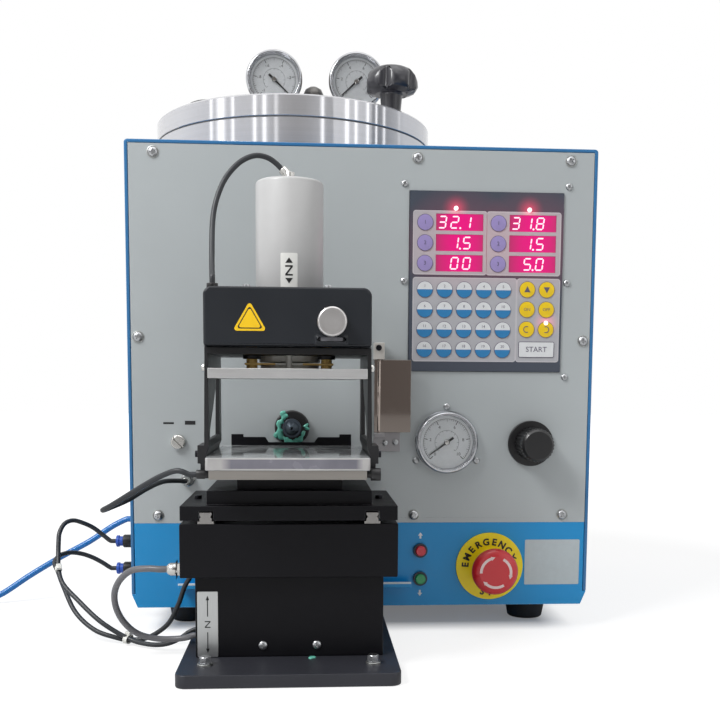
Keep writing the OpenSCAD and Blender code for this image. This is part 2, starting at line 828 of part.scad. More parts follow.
module rear_panel() {
    low_x = side_x - tray_chamfer_w - cover_t - fix_fit;
    color("slategray") from_panel() difference() {
        along_y(rear_y - panel_t, rear_y) difference() {
            polygon([
                [-low_x, floor_z], [low_x, floor_z], [inside_x - fix_fit, chamfer_z + 1],
                [inside_x - fix_fit, cabinet_top - cover_t - fix_fit],
                [fix_fit - inside_x, cabinet_top - cover_t - fix_fit], [fix_fit - inside_x, chamfer_z + 1]
            ]);
            for (i = [-5:5])
                translate([i * louvre_pitch - louvre_w / 2, cabinet_top - louvre_drop - louvre_h])
                rounded(louvre_w, louvre_h, louvre_w / 2 - 0.1);
            translate([inlet_x, inlet_z])
                square([inlet_w + 2 * fix_fit, inlet_h + 2 * fix_fit], center = true);
        }
    }
}

module cabinet_feet() {
    color("dimgray") from_panel()
        for (s = [-1, 1], y = [foot_end, cabinet_d - foot_end])
        translate([s * (side_x - foot_side), y, 0]) cylinder(d1 = foot_d * 0.8, d2 = foot_d, h = foot_h);
}

module pan_screw(head_d, l) {
    rotate([90, 0, 0]) {
        cylinder(d1 = head_d, d2 = head_d * 0.8, h = screw_head_h);
        translate([0, 0, -l]) cylinder(d = screw_d, h = l + 0.5);
    }
}

module screws_and_bolts() {
    grip = panel_t + flange_t + 3;
    color("silver") from_panel() {
        for (p = panel_screws) translate([p[0], 0, p[1]]) pan_screw(screw_head_d, grip);
        for (p = concat(controller_screws(), gauge_screws())) translate([p[0], 0, p[1]])
            pan_screw(small_head_d, grip);
        for (s = [-1, 1]) translate([nozzle_x + s * tower_screw_x, tower_front, base_t + 9])
            pan_screw(7, tower_t + 3);
        for (s = [-1, 1]) translate([nozzle_x + s * bolt_x, bolt_front, base_t]) {
            cylinder(d = 14, h = 1.5);
            cylinder(d = 11.5, h = 6.5, $fn = 6);
            translate([0, 0, 3 - base_t]) cylinder(d = 6, h = base_t);
        }
        for (s = [-1, 1]) translate([nozzle_x + s * bolt_x, bolt_back, 0]) {
            translate([0, 0, base_t]) cylinder(d = 11.5, h = tray_z - base_t, $fn = 6);
            translate([0, 0, 3]) cylinder(d = 6, h = floor_z + 8 - 3);
            translate([0, 0, floor_z]) cylinder(d = 11.5, h = 5, $fn = 6);
        }
    }
}

// Front panel pieces

module controller() {
    back = panel_t + flange_t;
    color("black") from_panel() difference() {
        union() {
            along_y(-overlay_front, back) translate([overlay_x, overlay_z])
                square([overlay_w, overlay_h]);
            along_y(panel_t, back)
                translate([overlay_x - controller_margin, overlay_z - controller_margin])
                rounded(overlay_w + 2 * controller_margin, overlay_h + 2 * controller_margin + 6, 4);
            along_y(panel_t, back + housing_d) translate([overlay_x + 6, overlay_z + 6])
                square([overlay_w - 12, overlay_h - 12]);
            along_y(-overlay_front - key_h, 0) translate([overlay_x, overlay_z]) {
                for (p = concat(blue_keys, yellow_keys, display_keys)) translate(p)
                    circle(d = key_d, $fn = 32);
                translate([start_key[0], start_key[1]]) rounded(start_key[2], start_key[3], 2);
            }
        }
        along_y(-overlay_front - 1, window_depth - overlay_front) translate([overlay_x, overlay_z])
            for (p = display_windows) translate(p) square(window_size);
        for (p = controller_screws()) translate([p[0], 0, p[1]]) y_rod(screw_d / 2 + screw_fit, -1, 10);
    }
}

module gauge_case(back) {
    difference() {
        union() {
            rotate_extrude() polygon([
                [0, -back], [gauge_r - 3, -back], [gauge_r - 1.5, 0], [gauge_r, 1.5],
                [gauge_r, gauge_front - 2],
                [gauge_r - 1.5, gauge_front], [0, gauge_front]
            ]);
            children();
        }
        translate([0, 0, dial_z]) cylinder(r = dial_r, h = gauge_front);
        translate([0, 0, lens_z]) cylinder(r = lens_r + run_fit, h = gauge_front);
        translate([0, 0, dial_z - pointer_pin_l - 1])
            cylinder(r = pointer_pin_r + run_fit, h = gauge_front);
    }
}

module gauge_lens() {
    translate([0, 0, lens_z]) cylinder(r = lens_r, h = lens_t);
}

module gauge_pointer(angle) {
    rotate([0, 0, -angle]) {
        translate([0, 0, pointer_z]) {
            cylinder(r = 2.4, h = pointer_t);
            linear_extrude(pointer_t) polygon([
                [-1, -dial_r * 0.3], [1, -dial_r * 0.3], [0.9, 0], [0.3, dial_r * 0.82],
                [-0.3, dial_r * 0.82], [-0.9, 0]
            ]);
        }
        translate([0, 0, dial_z - pointer_pin_l]) cylinder(r = pointer_pin_r, h = pointer_pin_l + 0.5);
    }
}

module panel_gauge() {
    color("silver") difference() {
        at_panel(gauge_x, panel_gauge_z) gauge_case(gauge_back)
            translate([0, 0, -panel_t - flange_t]) cylinder(r = gauge_flange_r, h = flange_t);
        from_panel() for (p = gauge_screws()) translate([p[0], 0, p[1]])
            y_rod(screw_d / 2 + screw_fit, -1, 10);
    }
}

module panel_gauge_lens() {
    color("white", 0.3) at_panel(gauge_x, panel_gauge_z) gauge_lens();
}

module panel_gauge_pointer() {
    color("black") at_panel(gauge_x, panel_gauge_z) gauge_pointer(panel_gauge_angle);
}

module regulator_body() {
    color("black") at_panel(regulator_x, regulator_z) {
        cylinder(d = regulator_d, h = regulator_flange_t);
        translate([0, 0, -regulator_back]) cylinder(r = regulator_neck_r, h = regulator_back + 0.5);
        translate([0, 0, regulator_box[0] / 2 + 8 - regulator_back])
            cube([regulator_box[0], regulator_box[1], regulator_box[0]], center = true);
        cylinder(r = regulator_stem_r, h = regulator_flange_t + regulator_gap + regulator_knob_l - 8);
    }
}

module regulator_knob() {
    knob_r = regulator_knob_d / 2;
    color("black") at_panel(regulator_x, regulator_z)
        translate([0, 0, regulator_flange_t + regulator_gap]) difference() {
            union() {
                cylinder(r = knob_r - 0.7, h = regulator_knob_l - 2);
                translate([0, 0, regulator_knob_l - 2])
                    cylinder(r1 = knob_r - 0.7, r2 = knob_r - 2.7, h = 2);
                for (a = [0:12:348]) rotate([0, 0, a]) translate([knob_r - 1.5, -0.8, 0])
                    cube([1.5, 1.6, regulator_knob_l - 3]);
            }
            translate([0, 0, -1]) cylinder(r = regulator_stem_r + run_fit, h = regulator_knob_l - 6);
        }
}

module switch_bodies() {
    color("yellow") at_panel(estop_x, estop_z) difference() {
        union() {
            cylinder(d = estop_disc_d, h = estop_disc_t);
            cylinder(r = estop_collar_r, h = estop_disc_t + estop_collar_l);
            translate([0, 0, -estop_neck]) cylinder(r = estop_body_r, h = estop_neck + 1);
            translate([0, 0, 2 - estop_neck - estop_block[1] / 2])
                cube([estop_block[0], estop_block[0], estop_block[1]], center = true);
        }
        translate([0, 0, -22 - estop_travel]) cylinder(r = estop_stem_r + run_fit, h = 60);
    }
    color("silver") for (z = button_heights) at_panel(button_x, z) difference() {
        union() {
            cylinder(d = button_bezel_d, h = bezel_l);
            translate([0, 0, -button_body_l]) cylinder(r = button_body_r, h = button_body_l + 1);
        }
        translate([0, 0, 2 - button_body_l]) cylinder(r = button_r + run_fit, h = 40);
    }
}

module estop_plunger() {
    color("silver") at_panel(estop_x, estop_z) {
        translate([0, 0, -20]) cylinder(r = estop_stem_r, h = 20 + estop_front);
        translate([0, 0, estop_front]) cylinder(r = estop_spigot_r, h = estop_head_l - 6);
    }
}

module estop_head() {
    head_r = estop_head_d / 2;
    color("red") at_panel(estop_x, estop_z) translate([0, 0, estop_front]) difference() {
        rotate_extrude() polygon([
            [0, 0], [head_r * 0.62, 0], [head_r * 0.7, 5], [head_r, 7], [head_r, 10.5],
            [head_r - 2, 13.5],
            [head_r - 6, estop_head_l], [0, estop_head_l]
        ]);
        translate([0, 0, -1]) cylinder(r = estop_spigot_r + run_fit, h = estop_head_l - 4);
    }
}

module push_button(z) {
    at_panel(button_x, z) {
        translate([0, 0, -8]) cylinder(r = button_r, h = 8 + bezel_l + button_travel - 0.5);
        translate([0, 0, bezel_l + button_travel - 0.5])
            cylinder(r1 = button_r, r2 = button_r - 0.5, h = 0.5);
    }
}

module red_button() {
    color("red") push_button(button_heights[0]);
}

module green_button() {
    color("limegreen") push_button(button_heights[1]);
}

module dose_screw() {
    color("silver") at_panel(dose_x, dose_z) difference() {
        union() {
            translate([0, 0, -20]) cylinder(d = dose_d, h = 23.5);
            translate([0, 0, 3.5]) cylinder(d1 = dose_d, d2 = dose_d - 2, h = 1);
        }
        rotate([0, 0, -45]) translate([-dose_d, -0.8, 2.5]) cube([2 * dose_d, 1.6, 4]);
    }
}

// Nozzle, wax pot and lid

module nozzle_flange() {
    color("black") at_panel(nozzle_x, nozzle_z) difference() {
        union() {
            cylinder(d = nozzle_flange_d, h = nozzle_flange_l - 1);
            translate([0, 0, nozzle_flange_l - 1])
                cylinder(d1 = nozzle_flange_d, d2 = nozzle_flange_d - 2, h = 1);
        }
        translate([0, 0, -1]) cylinder(r = nozzle_stem_r + run_fit, h = 20);
    }
}

module nozzle_tip() {
    collar_z = nozzle_flange_l + nozzle_travel + 0.5;
    color("silver") at_panel(nozzle_x, nozzle_z) difference() {
        union() {
            translate([0, 0, -20]) cylinder(r = nozzle_stem_r, h = 21 + collar_z);
            translate([0, 0, collar_z]) cylinder(r = nozzle_stem_r + 2, h = 3.5);
            translate([0, 0, collar_z + 3.5]) cylinder(r1 = nozzle_stem_r, r2 = 2, h = 10);
        }
        translate([0, 0, -21]) cylinder(r = wax_bore_r, h = 80);
    }
}

module feed_tube() {
    color("silver") at_panel(nozzle_x, nozzle_z) difference() {
        translate([0, 0, -feed_l]) cylinder(r = feed_r, h = feed_l);
        translate([0, 0, -feed_seat]) cylinder(r = nozzle_stem_r + run_fit, h = feed_seat + 1);
        translate([0, 0, -feed_l - 1]) cylinder(r = channel_r, h = feed_l);
    }
}

module wax_pot() {
    color("gainsboro") difference() {
        union() {
            at_pot() rotate_extrude($fn = 96) polygon([
                [0, pot_z], [pot_outer_r - pot_dish, pot_z], [pot_outer_r, pot_z + pot_dish],
                [pot_outer_r, cabinet_top], [lid_r, cabinet_top], [lid_r, pot_top - 1],
                [lid_r - 1, pot_top],
                [0, pot_top]
            ]);
            from_panel() translate([nozzle_x, 0, nozzle_z]) y_rod(feed_r + 3, feed_l, pot_y - pot_r + 8);
        }
        at_pot() rotate_extrude($fn = 96) polygon([
            [0, pot_z + pot_wall], [pot_r - pot_dish, pot_z + pot_wall],
            [pot_r, pot_z + pot_wall + pot_dish],
            [pot_r, pot_top + 1], [0, pot_top + 1]
        ]);
        at_pot() translate([0, 0, pot_top - groove_depth]) rotate_extrude($fn = 96)
            translate([seal_r - seal_d / 2 - 0.1, 0]) square([seal_d + 0.2, groove_depth + 1]);
        from_panel() translate([nozzle_x, 0, nozzle_z]) y_rod(channel_r, feed_l - 1, pot_y - pot_r + 12);
        at_pot() for (p = lid_knobs) translate([p[0], p[1], pot_top - lid_stud_in - 3])
            cylinder(r = lid_stud_r + 0.5, h = 40);
    }
}

module heater_band() {
    color("goldenrod") at_pot() translate([0, 0, pot_z + heater_rise]) difference() {
        union() {
            cylinder(r = pot_outer_r + fix_fit + heater_t, h = heater_h, $fn = 96);
            for (s = [-1, 1]) translate([pot_outer_r - 4, s * 5 - 1.5, 4]) cube([16, 3, heater_h - 8]);
        }
        translate([0, 0, -1]) cylinder(r = pot_outer_r + fix_fit, h = heater_h + 2, $fn = 96);
        translate([pot_outer_r - 4, -3.5, -1]) cube([20, 7, heater_h + 2]);
    }
}

module lid_seal() {
    color("firebrick") at_pot() translate([0, 0, pot_top - groove_depth + seal_d / 2 + 0.1])
        rotate_extrude($fn = 96) translate([seal_r, 0]) circle(d = seal_d);
}

module pot_lid() {
    color("silver") at_pot() difference() {
        rotate_extrude($fn = 96) polygon([
            [0, pot_top - spigot_h], [pot_r - spigot_gap - 1, pot_top - spigot_h],
            [pot_r - spigot_gap, pot_top - spigot_h + 1], [pot_r - spigot_gap, pot_top],
            [lid_r - 1, pot_top],
            [lid_r, pot_top + 1], [lid_r, lid_top - 1.5], [lid_r - 1.5, lid_top], [0, lid_top]
        ]);
        for (x = lid_gauge_x) translate([x, -lid_gauge_front, pot_top - 20])
            cylinder(r = fitting_stub_r + fix_fit, h = 80);
        translate([relief_x, 0, pot_top - 20]) cylinder(r = fitting_stub_r + fix_fit, h = 80);
        for (p = lid_knobs) translate([p[0], p[1], pot_top - 20])
            cylinder(r = lid_stud_r + run_fit, h = 80);
    }
}

module lid_gauge_at(i) {
    at_pot() translate([lid_gauge_x[i], -lid_gauge_front, lid_gauge_z]) rotate([90, 0, 0]) children();
}

module lid_fittings() {
    stub_l = lid_h + spigot_h - 2;
    color("silver") {
        for (i = [0, 1]) lid_gauge_at(i) gauge_case(gauge_back);
        for (x = lid_gauge_x) at_pot() translate([x, -lid_gauge_front, lid_top]) {
            translate([0, gauge_back / 2 - gauge_front, 0])
                cylinder(r = fitting_stub_r, h = lid_gauge_rise - 18);
            translate([0, 0, -stub_l]) cylinder(r = fitting_stub_r, h = stub_l + 2);
            translate([0, 1, 0]) cylinder(d = 17, h = 9, $fn = 6);
        }
        at_pot() translate([relief_x, 0, lid_top]) {
            translate([0, 0, -stub_l]) cylinder(r = fitting_stub_r, h = stub_l + 2);
            cylinder(d = 17, h = 10, $fn = 6);
            cylinder(r = relief_d / 2 - 3, h = relief_h - 18);
            translate([0, 0, relief_h - 20]) rotate_extrude() polygon([
                [0, 0], [relief_d / 2, 0], [relief_d / 2, 13], [relief_d / 2 - 2, 17.5],
                [relief_d / 2 - 6, 20], [0, 20]
            ]);
        }
    }
}

module lid_gauge_lenses() {
    color("white", 0.3) for (i = [0, 1]) lid_gauge_at(i) gauge_lens();
}

module pressure_pointer() {
    color("black") lid_gauge_at(1) gauge_pointer(lid_gauge_angles[1]);
}

module vacuum_pointer() {
    color("black") lid_gauge_at(0) gauge_pointer(lid_gauge_angles[0]);
}

module lid_knob(i) {
    lobes = 5;
    head_r = lid_knob_d / 2;
    lobe_r = head_r * 0.45;
    dome = [[0, 0], [0.6, 0], [0.9, 0.12], [1, 0.3], [0.98, 0.48], [0.9, 0.7], [0.76, 0.88], [0.58, 0.97],
        [0.44, 1], [0, 1]];
    at_pot() translate([lid_knobs[i][0], lid_knobs[i][1], lid_top]) {
        translate([0, 0, -lid_h - lid_stud_in]) cylinder(r = lid_stud_r, h = lid_h + lid_stud_in + 1);
        cylinder(r1 = head_r * 0.34, r2 = head_r * 0.42, h = lid_knob_neck_h + 1);
        translate([0, 0, lid_knob_neck_h]) intersection() {
            linear_extrude(lid_knob_l) lobed(lobes, head_r, lobe_r);
            rotate_extrude() polygon([for (p = dome) [p[0] * head_r, p[1] * lid_knob_l]]);
        }
    }
}

module lobed(lobes, head_r, lobe_r) {
    circle(head_r - lobe_r * 0.8);
    for (k = [0:lobes - 1]) rotate(k * 360 / lobes) translate([head_r - lobe_r, 0]) circle(lobe_r);
}

module lid_knob_front() {
    color("black") lid_knob(0);
}

module lid_knob_rear() {
    color("black") lid_knob(1);
}

// Inside and at the back of the cabinet

module vacuum_pump() {
    axis_z = floor_z + pump_foot_t + 2 + pump_r;
    head_top_z = axis_z + pump_r;
    head_x = -pump_foot[0] / 2;
    motor_end = pump_foot[0] / 2 - 8;
    color("gray") from_panel() translate([pump_x, pump_y, 0]) {
        block(head_x - 2, motor_end + 6, -pump_foot[1] / 2, pump_foot[1] / 2, floor_z,
            floor_z + pump_foot_t);
        block(-pump_r * 0.8, pump_r * 0.8, -pump_r * 0.7, pump_r * 0.7,
            floor_z + pump_foot_t - 1, axis_z - pump_r * 0.6);
        translate([0, 0, axis_z]) {
            x_rod(pump_r, head_x + pump_head_w - 2, motor_end);
            x_rod(pump_r * 0.78, motor_end - 1, motor_end + 6);
        }
        block(head_x, head_x + pump_head_w, -pump_r * 0.83, pump_r * 0.83,
            floor_z + pump_foot_t - 1, head_top_z + 2 * pump_fin_pitch);
        for (i = [-1:2]) block(head_x - 2, head_x + pump_head_w + 2, -pump_r * 0.89, pump_r * 0.89,
            head_top_z + i * pump_fin_pitch, head_top_z + i * pump_fin_pitch + 2);
        translate([head_x + pump_head_w / 2, 0, head_top_z + 2 * pump_fin_pitch - 1])
            cylinder(r = pump_fin_pitch, h = 3 * pump_fin_pitch);
    }
}

module mains_inlet() {
    cavity = [24, 16.5];
    pins = [[-7, -2], [7, -2], [0, 3]];
    color("black") from_panel() translate([inlet_x, rear_y, inlet_z]) {
        difference() {
            union() {
                along_y(-26, 1) square([inlet_w, inlet_h], center = true);
                along_y(0, 3) translate([-24, -14]) rounded(48, 28, 6);
            }
            along_y(-15, 4) square(cavity, center = true);
        }
        for (p = pins) along_y(-18, -2) translate(p) square([2, 4], center = true);
    }
}

// Mirror beside the nozzle

module mirror_bracket() {
    color("silver") from_panel() difference() {
        union() {
            block(mirror_pin_x - mirror_arm_w / 2, mirror_pin_x + mirror_arm_w / 2, -mirror_arm, 0,
                mirror_top + mirror_gap, mirror_top + mirror_gap + mirror_arm);
            block(mirror_x, mirror_x + mirror_foot_w, -mirror_t, 0,
                mirror_z - mirror_gap - mirror_foot_h, mirror_z - mirror_gap);
            block(mirror_x, mirror_x + mirror_arm_w, 1 - mirror_arm, -mirror_t / 2,
                mirror_z - mirror_gap - mirror_pin_in, mirror_z - mirror_gap);
        }
        translate([mirror_pin_x, mirror_pin_y, mirror_z - 10])
            cylinder(r = mirror_pin_r + run_fit, h = mirror_h + 10 + mirror_pin_in + 1);
    }
}

module side_mirror() {
    color("lightgray") from_panel() {
        block(mirror_x, mirror_x + mirror_w, mirror_pin_y - mirror_t / 2, mirror_pin_y + mirror_t / 2,
            mirror_z, mirror_top);
        translate([mirror_pin_x, mirror_pin_y, mirror_z - mirror_pin_in])
            cylinder(r = mirror_pin_r, h = mirror_h + 2 * mirror_pin_in);
    }
}

// Clamp tower

module clamp_base() {
    color("black") at_clamp() difference() {
        linear_extrude(base_t) translate([-base_w / 2, base_front])
            rounded(base_w, base_back - base_front, 8);
        for (s = [-1, 1], y = [bolt_front, bolt_back]) translate([s * bolt_x, y, 3])
            cylinder(d = 6 + 2 * screw_fit, h = base_t);
    }
}

module tower_cover() {
    color("black") at_clamp() difference() {
        block(-tower_w / 2, tower_w / 2, tower_front, tower_back, base_t, tower_top);
        block(tower_t - tower_w / 2, tower_w / 2 - tower_t, tower_front + tower_t, tower_back - tower_t,
            base_t - 1, tower_top - tower_t);
        translate([0, lift_y, tower_top - 10]) {
            cylinder(d = lift_ram_d + 2, h = 20);
            for (s = [-1, 1]) translate([s * lift_guide_x, 0, 0]) cylinder(d = lift_guide_d + 2, h = 20);
        }
        for (s = [-1, 1]) translate([s * tower_screw_x, 0, base_t + 9])
            y_rod(screw_d / 2 + screw_fit, tower_front - 1, tower_front + 5);
    }
}

module lift_cylinder() {
    color("silver") at_clamp() translate([0, lift_y, 0]) difference() {
        block(-lift_block[0] / 2, lift_block[0] / 2, -lift_block[1] / 2, lift_block[1] / 2, base_t,
            tower_top - tower_t - 2);
        translate([0, 0, base_t + lift_sink]) {
            cylinder(d = lift_ram_d + 2 * run_fit, h = tower_top);
            for (s = [-1, 1]) translate([s * lift_guide_x, 0, 0])
                cylinder(d = lift_guide_d + 2 * run_fit, h = tower_top);
        }
    }
}

module lift_rods() {
    l = skirt_top - tower_t - rod_start;
    color("silver") at_clamp() translate([0, lift_y, rod_start]) {
        cylinder(d = lift_ram_d, h = l);
        for (s = [-1, 1]) translate([s * lift_guide_x, 0, 0]) cylinder(d = lift_guide_d, h = l);
    }
}

module lift_skirt() {
    half = skirt_w / 2;
    low = skirt_top - skirt_h;
    color("black") at_clamp() {
        difference() {
            block(-half, half, skirt_front, skirt_back, low, skirt_top);
            block(tower_t - half, half - tower_t, skirt_front + tower_t, skirt_back - tower_t, low - 1,
                skirt_top - tower_t);
        }
        translate([0, gland_y, gland_z]) {
            x_rod(gland_r, -half - gland_l, -half + tower_t / 2);
            rotate([0, 90, 0]) translate([0, 0, -half - 4]) cylinder(r = gland_r + 0.5, h = 4.5, $fn = 6);
        }
    }
}

module slide_rails() {
    color("silver") at_clamp() for (s = [-1, 1]) translate([s * rail_x, 0, 0])
        along_y(rail_front, rail_back) polygon([
            [-6, skirt_top], [6, skirt_top], [6, rail_z], [rail_w / 2, rail_z],
            [rail_w / 2, rail_z + rail_h * 0.3],
            [rail_w / 2 - 1, rail_z + rail_h * 0.5], [rail_w / 2, rail_z + rail_h * 0.75],
            [rail_w / 2, rail_z + rail_h],
            [-rail_w / 2, rail_z + rail_h], [-rail_w / 2, rail_z + rail_h * 0.75],
            [1 - rail_w / 2, rail_z + rail_h * 0.5], [-rail_w / 2, rail_z + rail_h * 0.3],
            [-rail_w / 2, rail_z],
            [-6, rail_z]
        ]);
}

// Carriage on the rails

module slide_blocks() {
    color("gray") at_clamp() for (s = [-1, 1], y = block_y) translate([s * rail_x, y, 0]) difference() {
        block(-block_w / 2, block_w / 2, -block_l / 2, block_l / 2, rail_z + 1.2, block_top);
        block(-rail_w / 2 - block_fit, rail_w / 2 + block_fit, -block_l, block_l, rail_z - 1,
            rail_z + rail_h + block_fit);
    }
}

module carriage() {
    half = tray_w / 2;
    color("black") at_clamp() {
        block(-half, half, skirt_front, tray_back, block_top, tray_top);
        difference() {
            block(-half, half, skirt_front, skirt_front + 2, tray_top - tray_flange_h, tray_top - 0.1);
            for (s = [-1, 1]) translate([s * rail_x, 0, 0])
                block(-rail_w / 2 - 1, rail_w / 2 + 1, skirt_front - 1, skirt_front + 3, rail_z - 5,
                    rail_z + rail_h + 1);
        }
        block(-plate_w / 2, plate_w / 2, -115, -35, tray_top - 0.1, plate_top);
        block(-riser_w / 2, riser_w / 2, -105, -40, plate_top - 0.1, bed_z);
    }
}

module mould_bed() {
    color("dimgray") at_clamp() difference() {
        block(-bed_w / 2, bed_w / 2, bed_front, bed_back, bed_z, acrylic_z);
        for (s = [-1, 1]) translate([0, bed_front + 7, bed_z + bed_t / 2])
            x_rod(1.7, s * bed_w / 2 - 8, s * bed_w / 2 + 8);
    }
}

module acrylic_plate() {
    color("white", 0.5) at_clamp() translate([-acrylic_w / 2, bed_front - 1, acrylic_z])
        linear_extrude(acrylic_t) rounded(acrylic_w, bed_back - bed_front + 1, 2);
}

module rear_fence() {
    half = bed_w / 2 - 5;
    end_z = acrylic_top + 9.2;
    step_z = acrylic_top + 6.8;
    mid_z = acrylic_top + 2.5;
    color("black") at_clamp() along_y(bed_back, bed_back + fence_t) polygon([
        [-half, bed_z], [half, bed_z], [half, end_z], [half - 10, end_z], [half - 10, step_z],
        [half - 28, step_z],
        [half - 31, mid_z], [31 - half, mid_z], [28 - half, step_z], [10 - half, step_z],
        [10 - half, end_z],
        [-half, end_z]
    ]);
}

// Press over the mould bed

module frame_side() {
    inner = acrylic_w / 2 + fix_fit;
    outer = bed_w / 2 + 7;
    difference() {
        union() {
            along_y(frame_front, frame_back) polygon([
                [bed_w / 2, bed_z], [outer, bed_z], [outer, acrylic_z + 3.6],
                [frame_half + 1, acrylic_z + 3.6],
                [frame_half, bridge_top], [frame_half - leg_t, bridge_top],
                [frame_half - leg_t, acrylic_top + 6], [inner, acrylic_top + 1], [inner, acrylic_z - 0.1],
                [bed_w / 2, acrylic_z - 0.1]
            ]);
            block(inner + 0.5, outer + 2, frame_front, frame_front + 32, acrylic_z + 3.6,
                acrylic_top + 7.7);
        }
        along_x(0, outer + 5) polygon([
            [frame_front + 8, acrylic_top + 11.2], [frame_back - leg_back, acrylic_top + 11.2],
            [frame_back - leg_back, bridge_z - 10], [frame_front + 60, bridge_z - 10],
            [frame_front + 54, bridge_z - 23.5], [frame_front + 10, acrylic_top + 18]
        ]);
    }
}

module press_frame() {
    color("black") at_clamp() difference() {
        union() {
            both_sides() frame_side();
            block(-frame_half, frame_half, frame_front, frame_back, bridge_z, bridge_top);
            translate([0, cylinder_y, bridge_z - disc_t]) cylinder(d = disc_d, h = disc_t + 1);
            for (s = [-1, 1]) translate([s * guide_pin_x, guide_y, bridge_z - guide_bush_h])
                cylinder(r = guide_bush_r, h = guide_bush_h + 1);
        }
        translate([0, cylinder_y, bridge_z - 10]) cylinder(r = rod_r + fix_fit, h = 30);
        for (s = [-1, 1]) translate([s * guide_pin_x, guide_y, bridge_z - 10])
            cylinder(r = guide_r + run_fit, h = 30);
        translate([0, marker_y, bridge_z - 10]) cylinder(r = marker_r + run_fit, h = 30);
    }
}

module clamp_plate() {
    color("silver") at_clamp() {
        block(-bed_w / 2, bed_w / 2, bed_front, frame_front - 1.5, clamp_z, clamp_top);
        block(4 - bed_w / 2, bed_w / 2 - 4, frame_front - 2, bed_back - 5, clamp_z, clamp_top);
    }
}

module press_rods() {
    pin_h = head_top - head_t - 2 - clamp_top;
    color("goldenrod") at_clamp() {
        translate([0, cylinder_y, clamp_top]) {
            cylinder(r = rod_r, h = rod_top - clamp_top);
            cylinder(d = disc_d - 2, h = rod_foot_h);
        }
        block(-guide_pin_x - 5, guide_pin_x + 5, guide_y - 6, cylinder_y - 10,
            clamp_top + rod_foot_h - guide_bar_t, clamp_top + rod_foot_h);
        for (s = [-1, 1]) translate([s * guide_pin_x, guide_y, clamp_top])
            cylinder(r = guide_r, h = pin_h);
        translate([0, marker_y, clamp_top]) cylinder(r = marker_r, h = pin_h - marker_drop);
    }
}

module head_section(inset) {
    half = head_w / 2 - inset;
    top = head_top - inset;
    polygon([
        [-half, bridge_top - inset], [half, bridge_top - inset], [half, top - head_chamfer],
        [half - head_chamfer, top],
        [head_chamfer - half, top], [-half, top - head_chamfer]
    ]);
}

module head_cover() {
    color("black") at_clamp() difference() {
        union() {
            along_y(head_front, head_back) head_section(0);
            block(head_knob_x - 10, head_knob_x + 10, head_front - 0.8, head_front + 1, bridge_top + 3.7,
                bridge_top + 6.7);
        }
        along_y(head_front + head_t, head_back - head_t) head_section(head_t);
        translate([0, cylinder_y, head_top - 20]) cylinder(r = cylinder_r + fix_fit, h = 40);
        translate([head_knob_x, 0, head_knob_z])
            y_rod(head_spindle_r + run_fit, head_front - 5, head_front + 10);
    }
}

module head_knob() {
    back = head_front - head_knob_gap;
    color("silver") at_clamp() translate([head_knob_x, 0, head_knob_z]) {
        y_rod(head_knob_d / 2, back - head_knob_l + 1, back);
        translate([0, back - head_knob_l + 1, 0]) rotate([90, 0, 0])
            cylinder(d1 = head_knob_d, d2 = head_knob_d - 2, h = 1);
        y_rod(head_spindle_r, back - 1, head_front + 16);
    }
}

module press_cylinder() {
    color("gainsboro") at_clamp() translate([0, cylinder_y, bridge_top]) difference() {
        union() {
            cylinder(r = cylinder_r, h = cylinder_h - 1.5);
            translate([0, 0, cylinder_h - 1.5]) cylinder(r1 = cylinder_r, r2 = cylinder_r - 1.5, h = 1.5);
        }
        translate([0, 0, -1]) cylinder(r = rod_r + run_fit, h = rod_top - bridge_top + 6);
    }
}

module press_fittings() {
    side = bed_w / 2;
    color("silver") at_clamp() {
        translate([0, cylinder_y, cylinder_top]) cylinder(d = 11, h = 3, $fn = 6);
        translate([0, cylinder_y, cylinder_top])
            cylinder(r = elbow_r + 0.6, h = elbow_z + elbow_r - cylinder_top);
        translate([0, cylinder_y, elbow_z]) rotate([0, 45, 0]) x_rod(elbow_r, -elbow_l, 0);
        translate([grommet_x, grommet_y, head_top]) cylinder(r = 4, h = grommet_h);
        translate([0, bed_front + 7, bed_z + bed_t / 2]) {
            x_rod(2.8, -side - 3, -side);
            x_rod(3.2, -side - 9, -side - 3);
            x_rod(1.5, -side - 3, -side + 6);
            x_rod(2.5, side, side + 3);
            x_rod(4.5, side + 3, side + 10);
            x_rod(1.5, side - 6, side + 3);
        }
    }
}

// Hoses, cables and what they end in

module side_fitting(tip) {
    color("steelblue") {
        x_rod(3.8, -side_x - 4, -side_x + 8);
        rotate([0, 90, 0]) translate([0, 0, -side_x - 4]) cylinder(r = 6.5, h = 4, $fn = 6);
        x_rod(4.6, -side_x - tip + 6, -side_x - 3);
        x_rod(5.4, -side_x - tip, -side_x - tip + 6);
    }
}

module hose_fittings() {
    from_panel() {
        for (z = fitting_z) translate([0, fitting_y, z]) side_fitting(fitting_l);
        translate([0, supply_fitting[0], supply_fitting[1]]) side_fitting(fitting_l + 4);
        color("silver") translate([connector_at[0], 0, connector_at[1]]) {
            y_rod(4.5, -connector_l, 0);
            y_rod(6, -4, 0);
        }
        color("goldenrod") translate([coil_x, 0, coupler_r]) {
            y_rod(coupler_r - 1, coupler_y - coupler_l, coupler_y);
            y_rod(coupler_r, coupler_y - coupler_l + 12, coupler_y - 8);
        }
    }
}

module hose_upper() {
    color("black") from_panel() hose(hose_upper_route, hose_d, 8);
}

module hose_lower() {
    color("black") from_panel() hose(hose_lower_route, hose_d, 8);
}

module sensor_cables() {
    color("gray") from_panel() hose(lift_cable_route, cable_d, 8);
    color("black") from_panel() hose(platform_cable_route, hose_d, 8);
}

module cylinder_hose() {
    color("black") from_panel() hose(cylinder_hose_route, hose_d, 8);
}

module supply_hose() {
    color("dodgerblue") from_panel() hose(supply_route, supply_d, 8);
}

module supply_coil() {
    color("dodgerblue") from_panel() tube(coil_path, supply_d, 6);
}

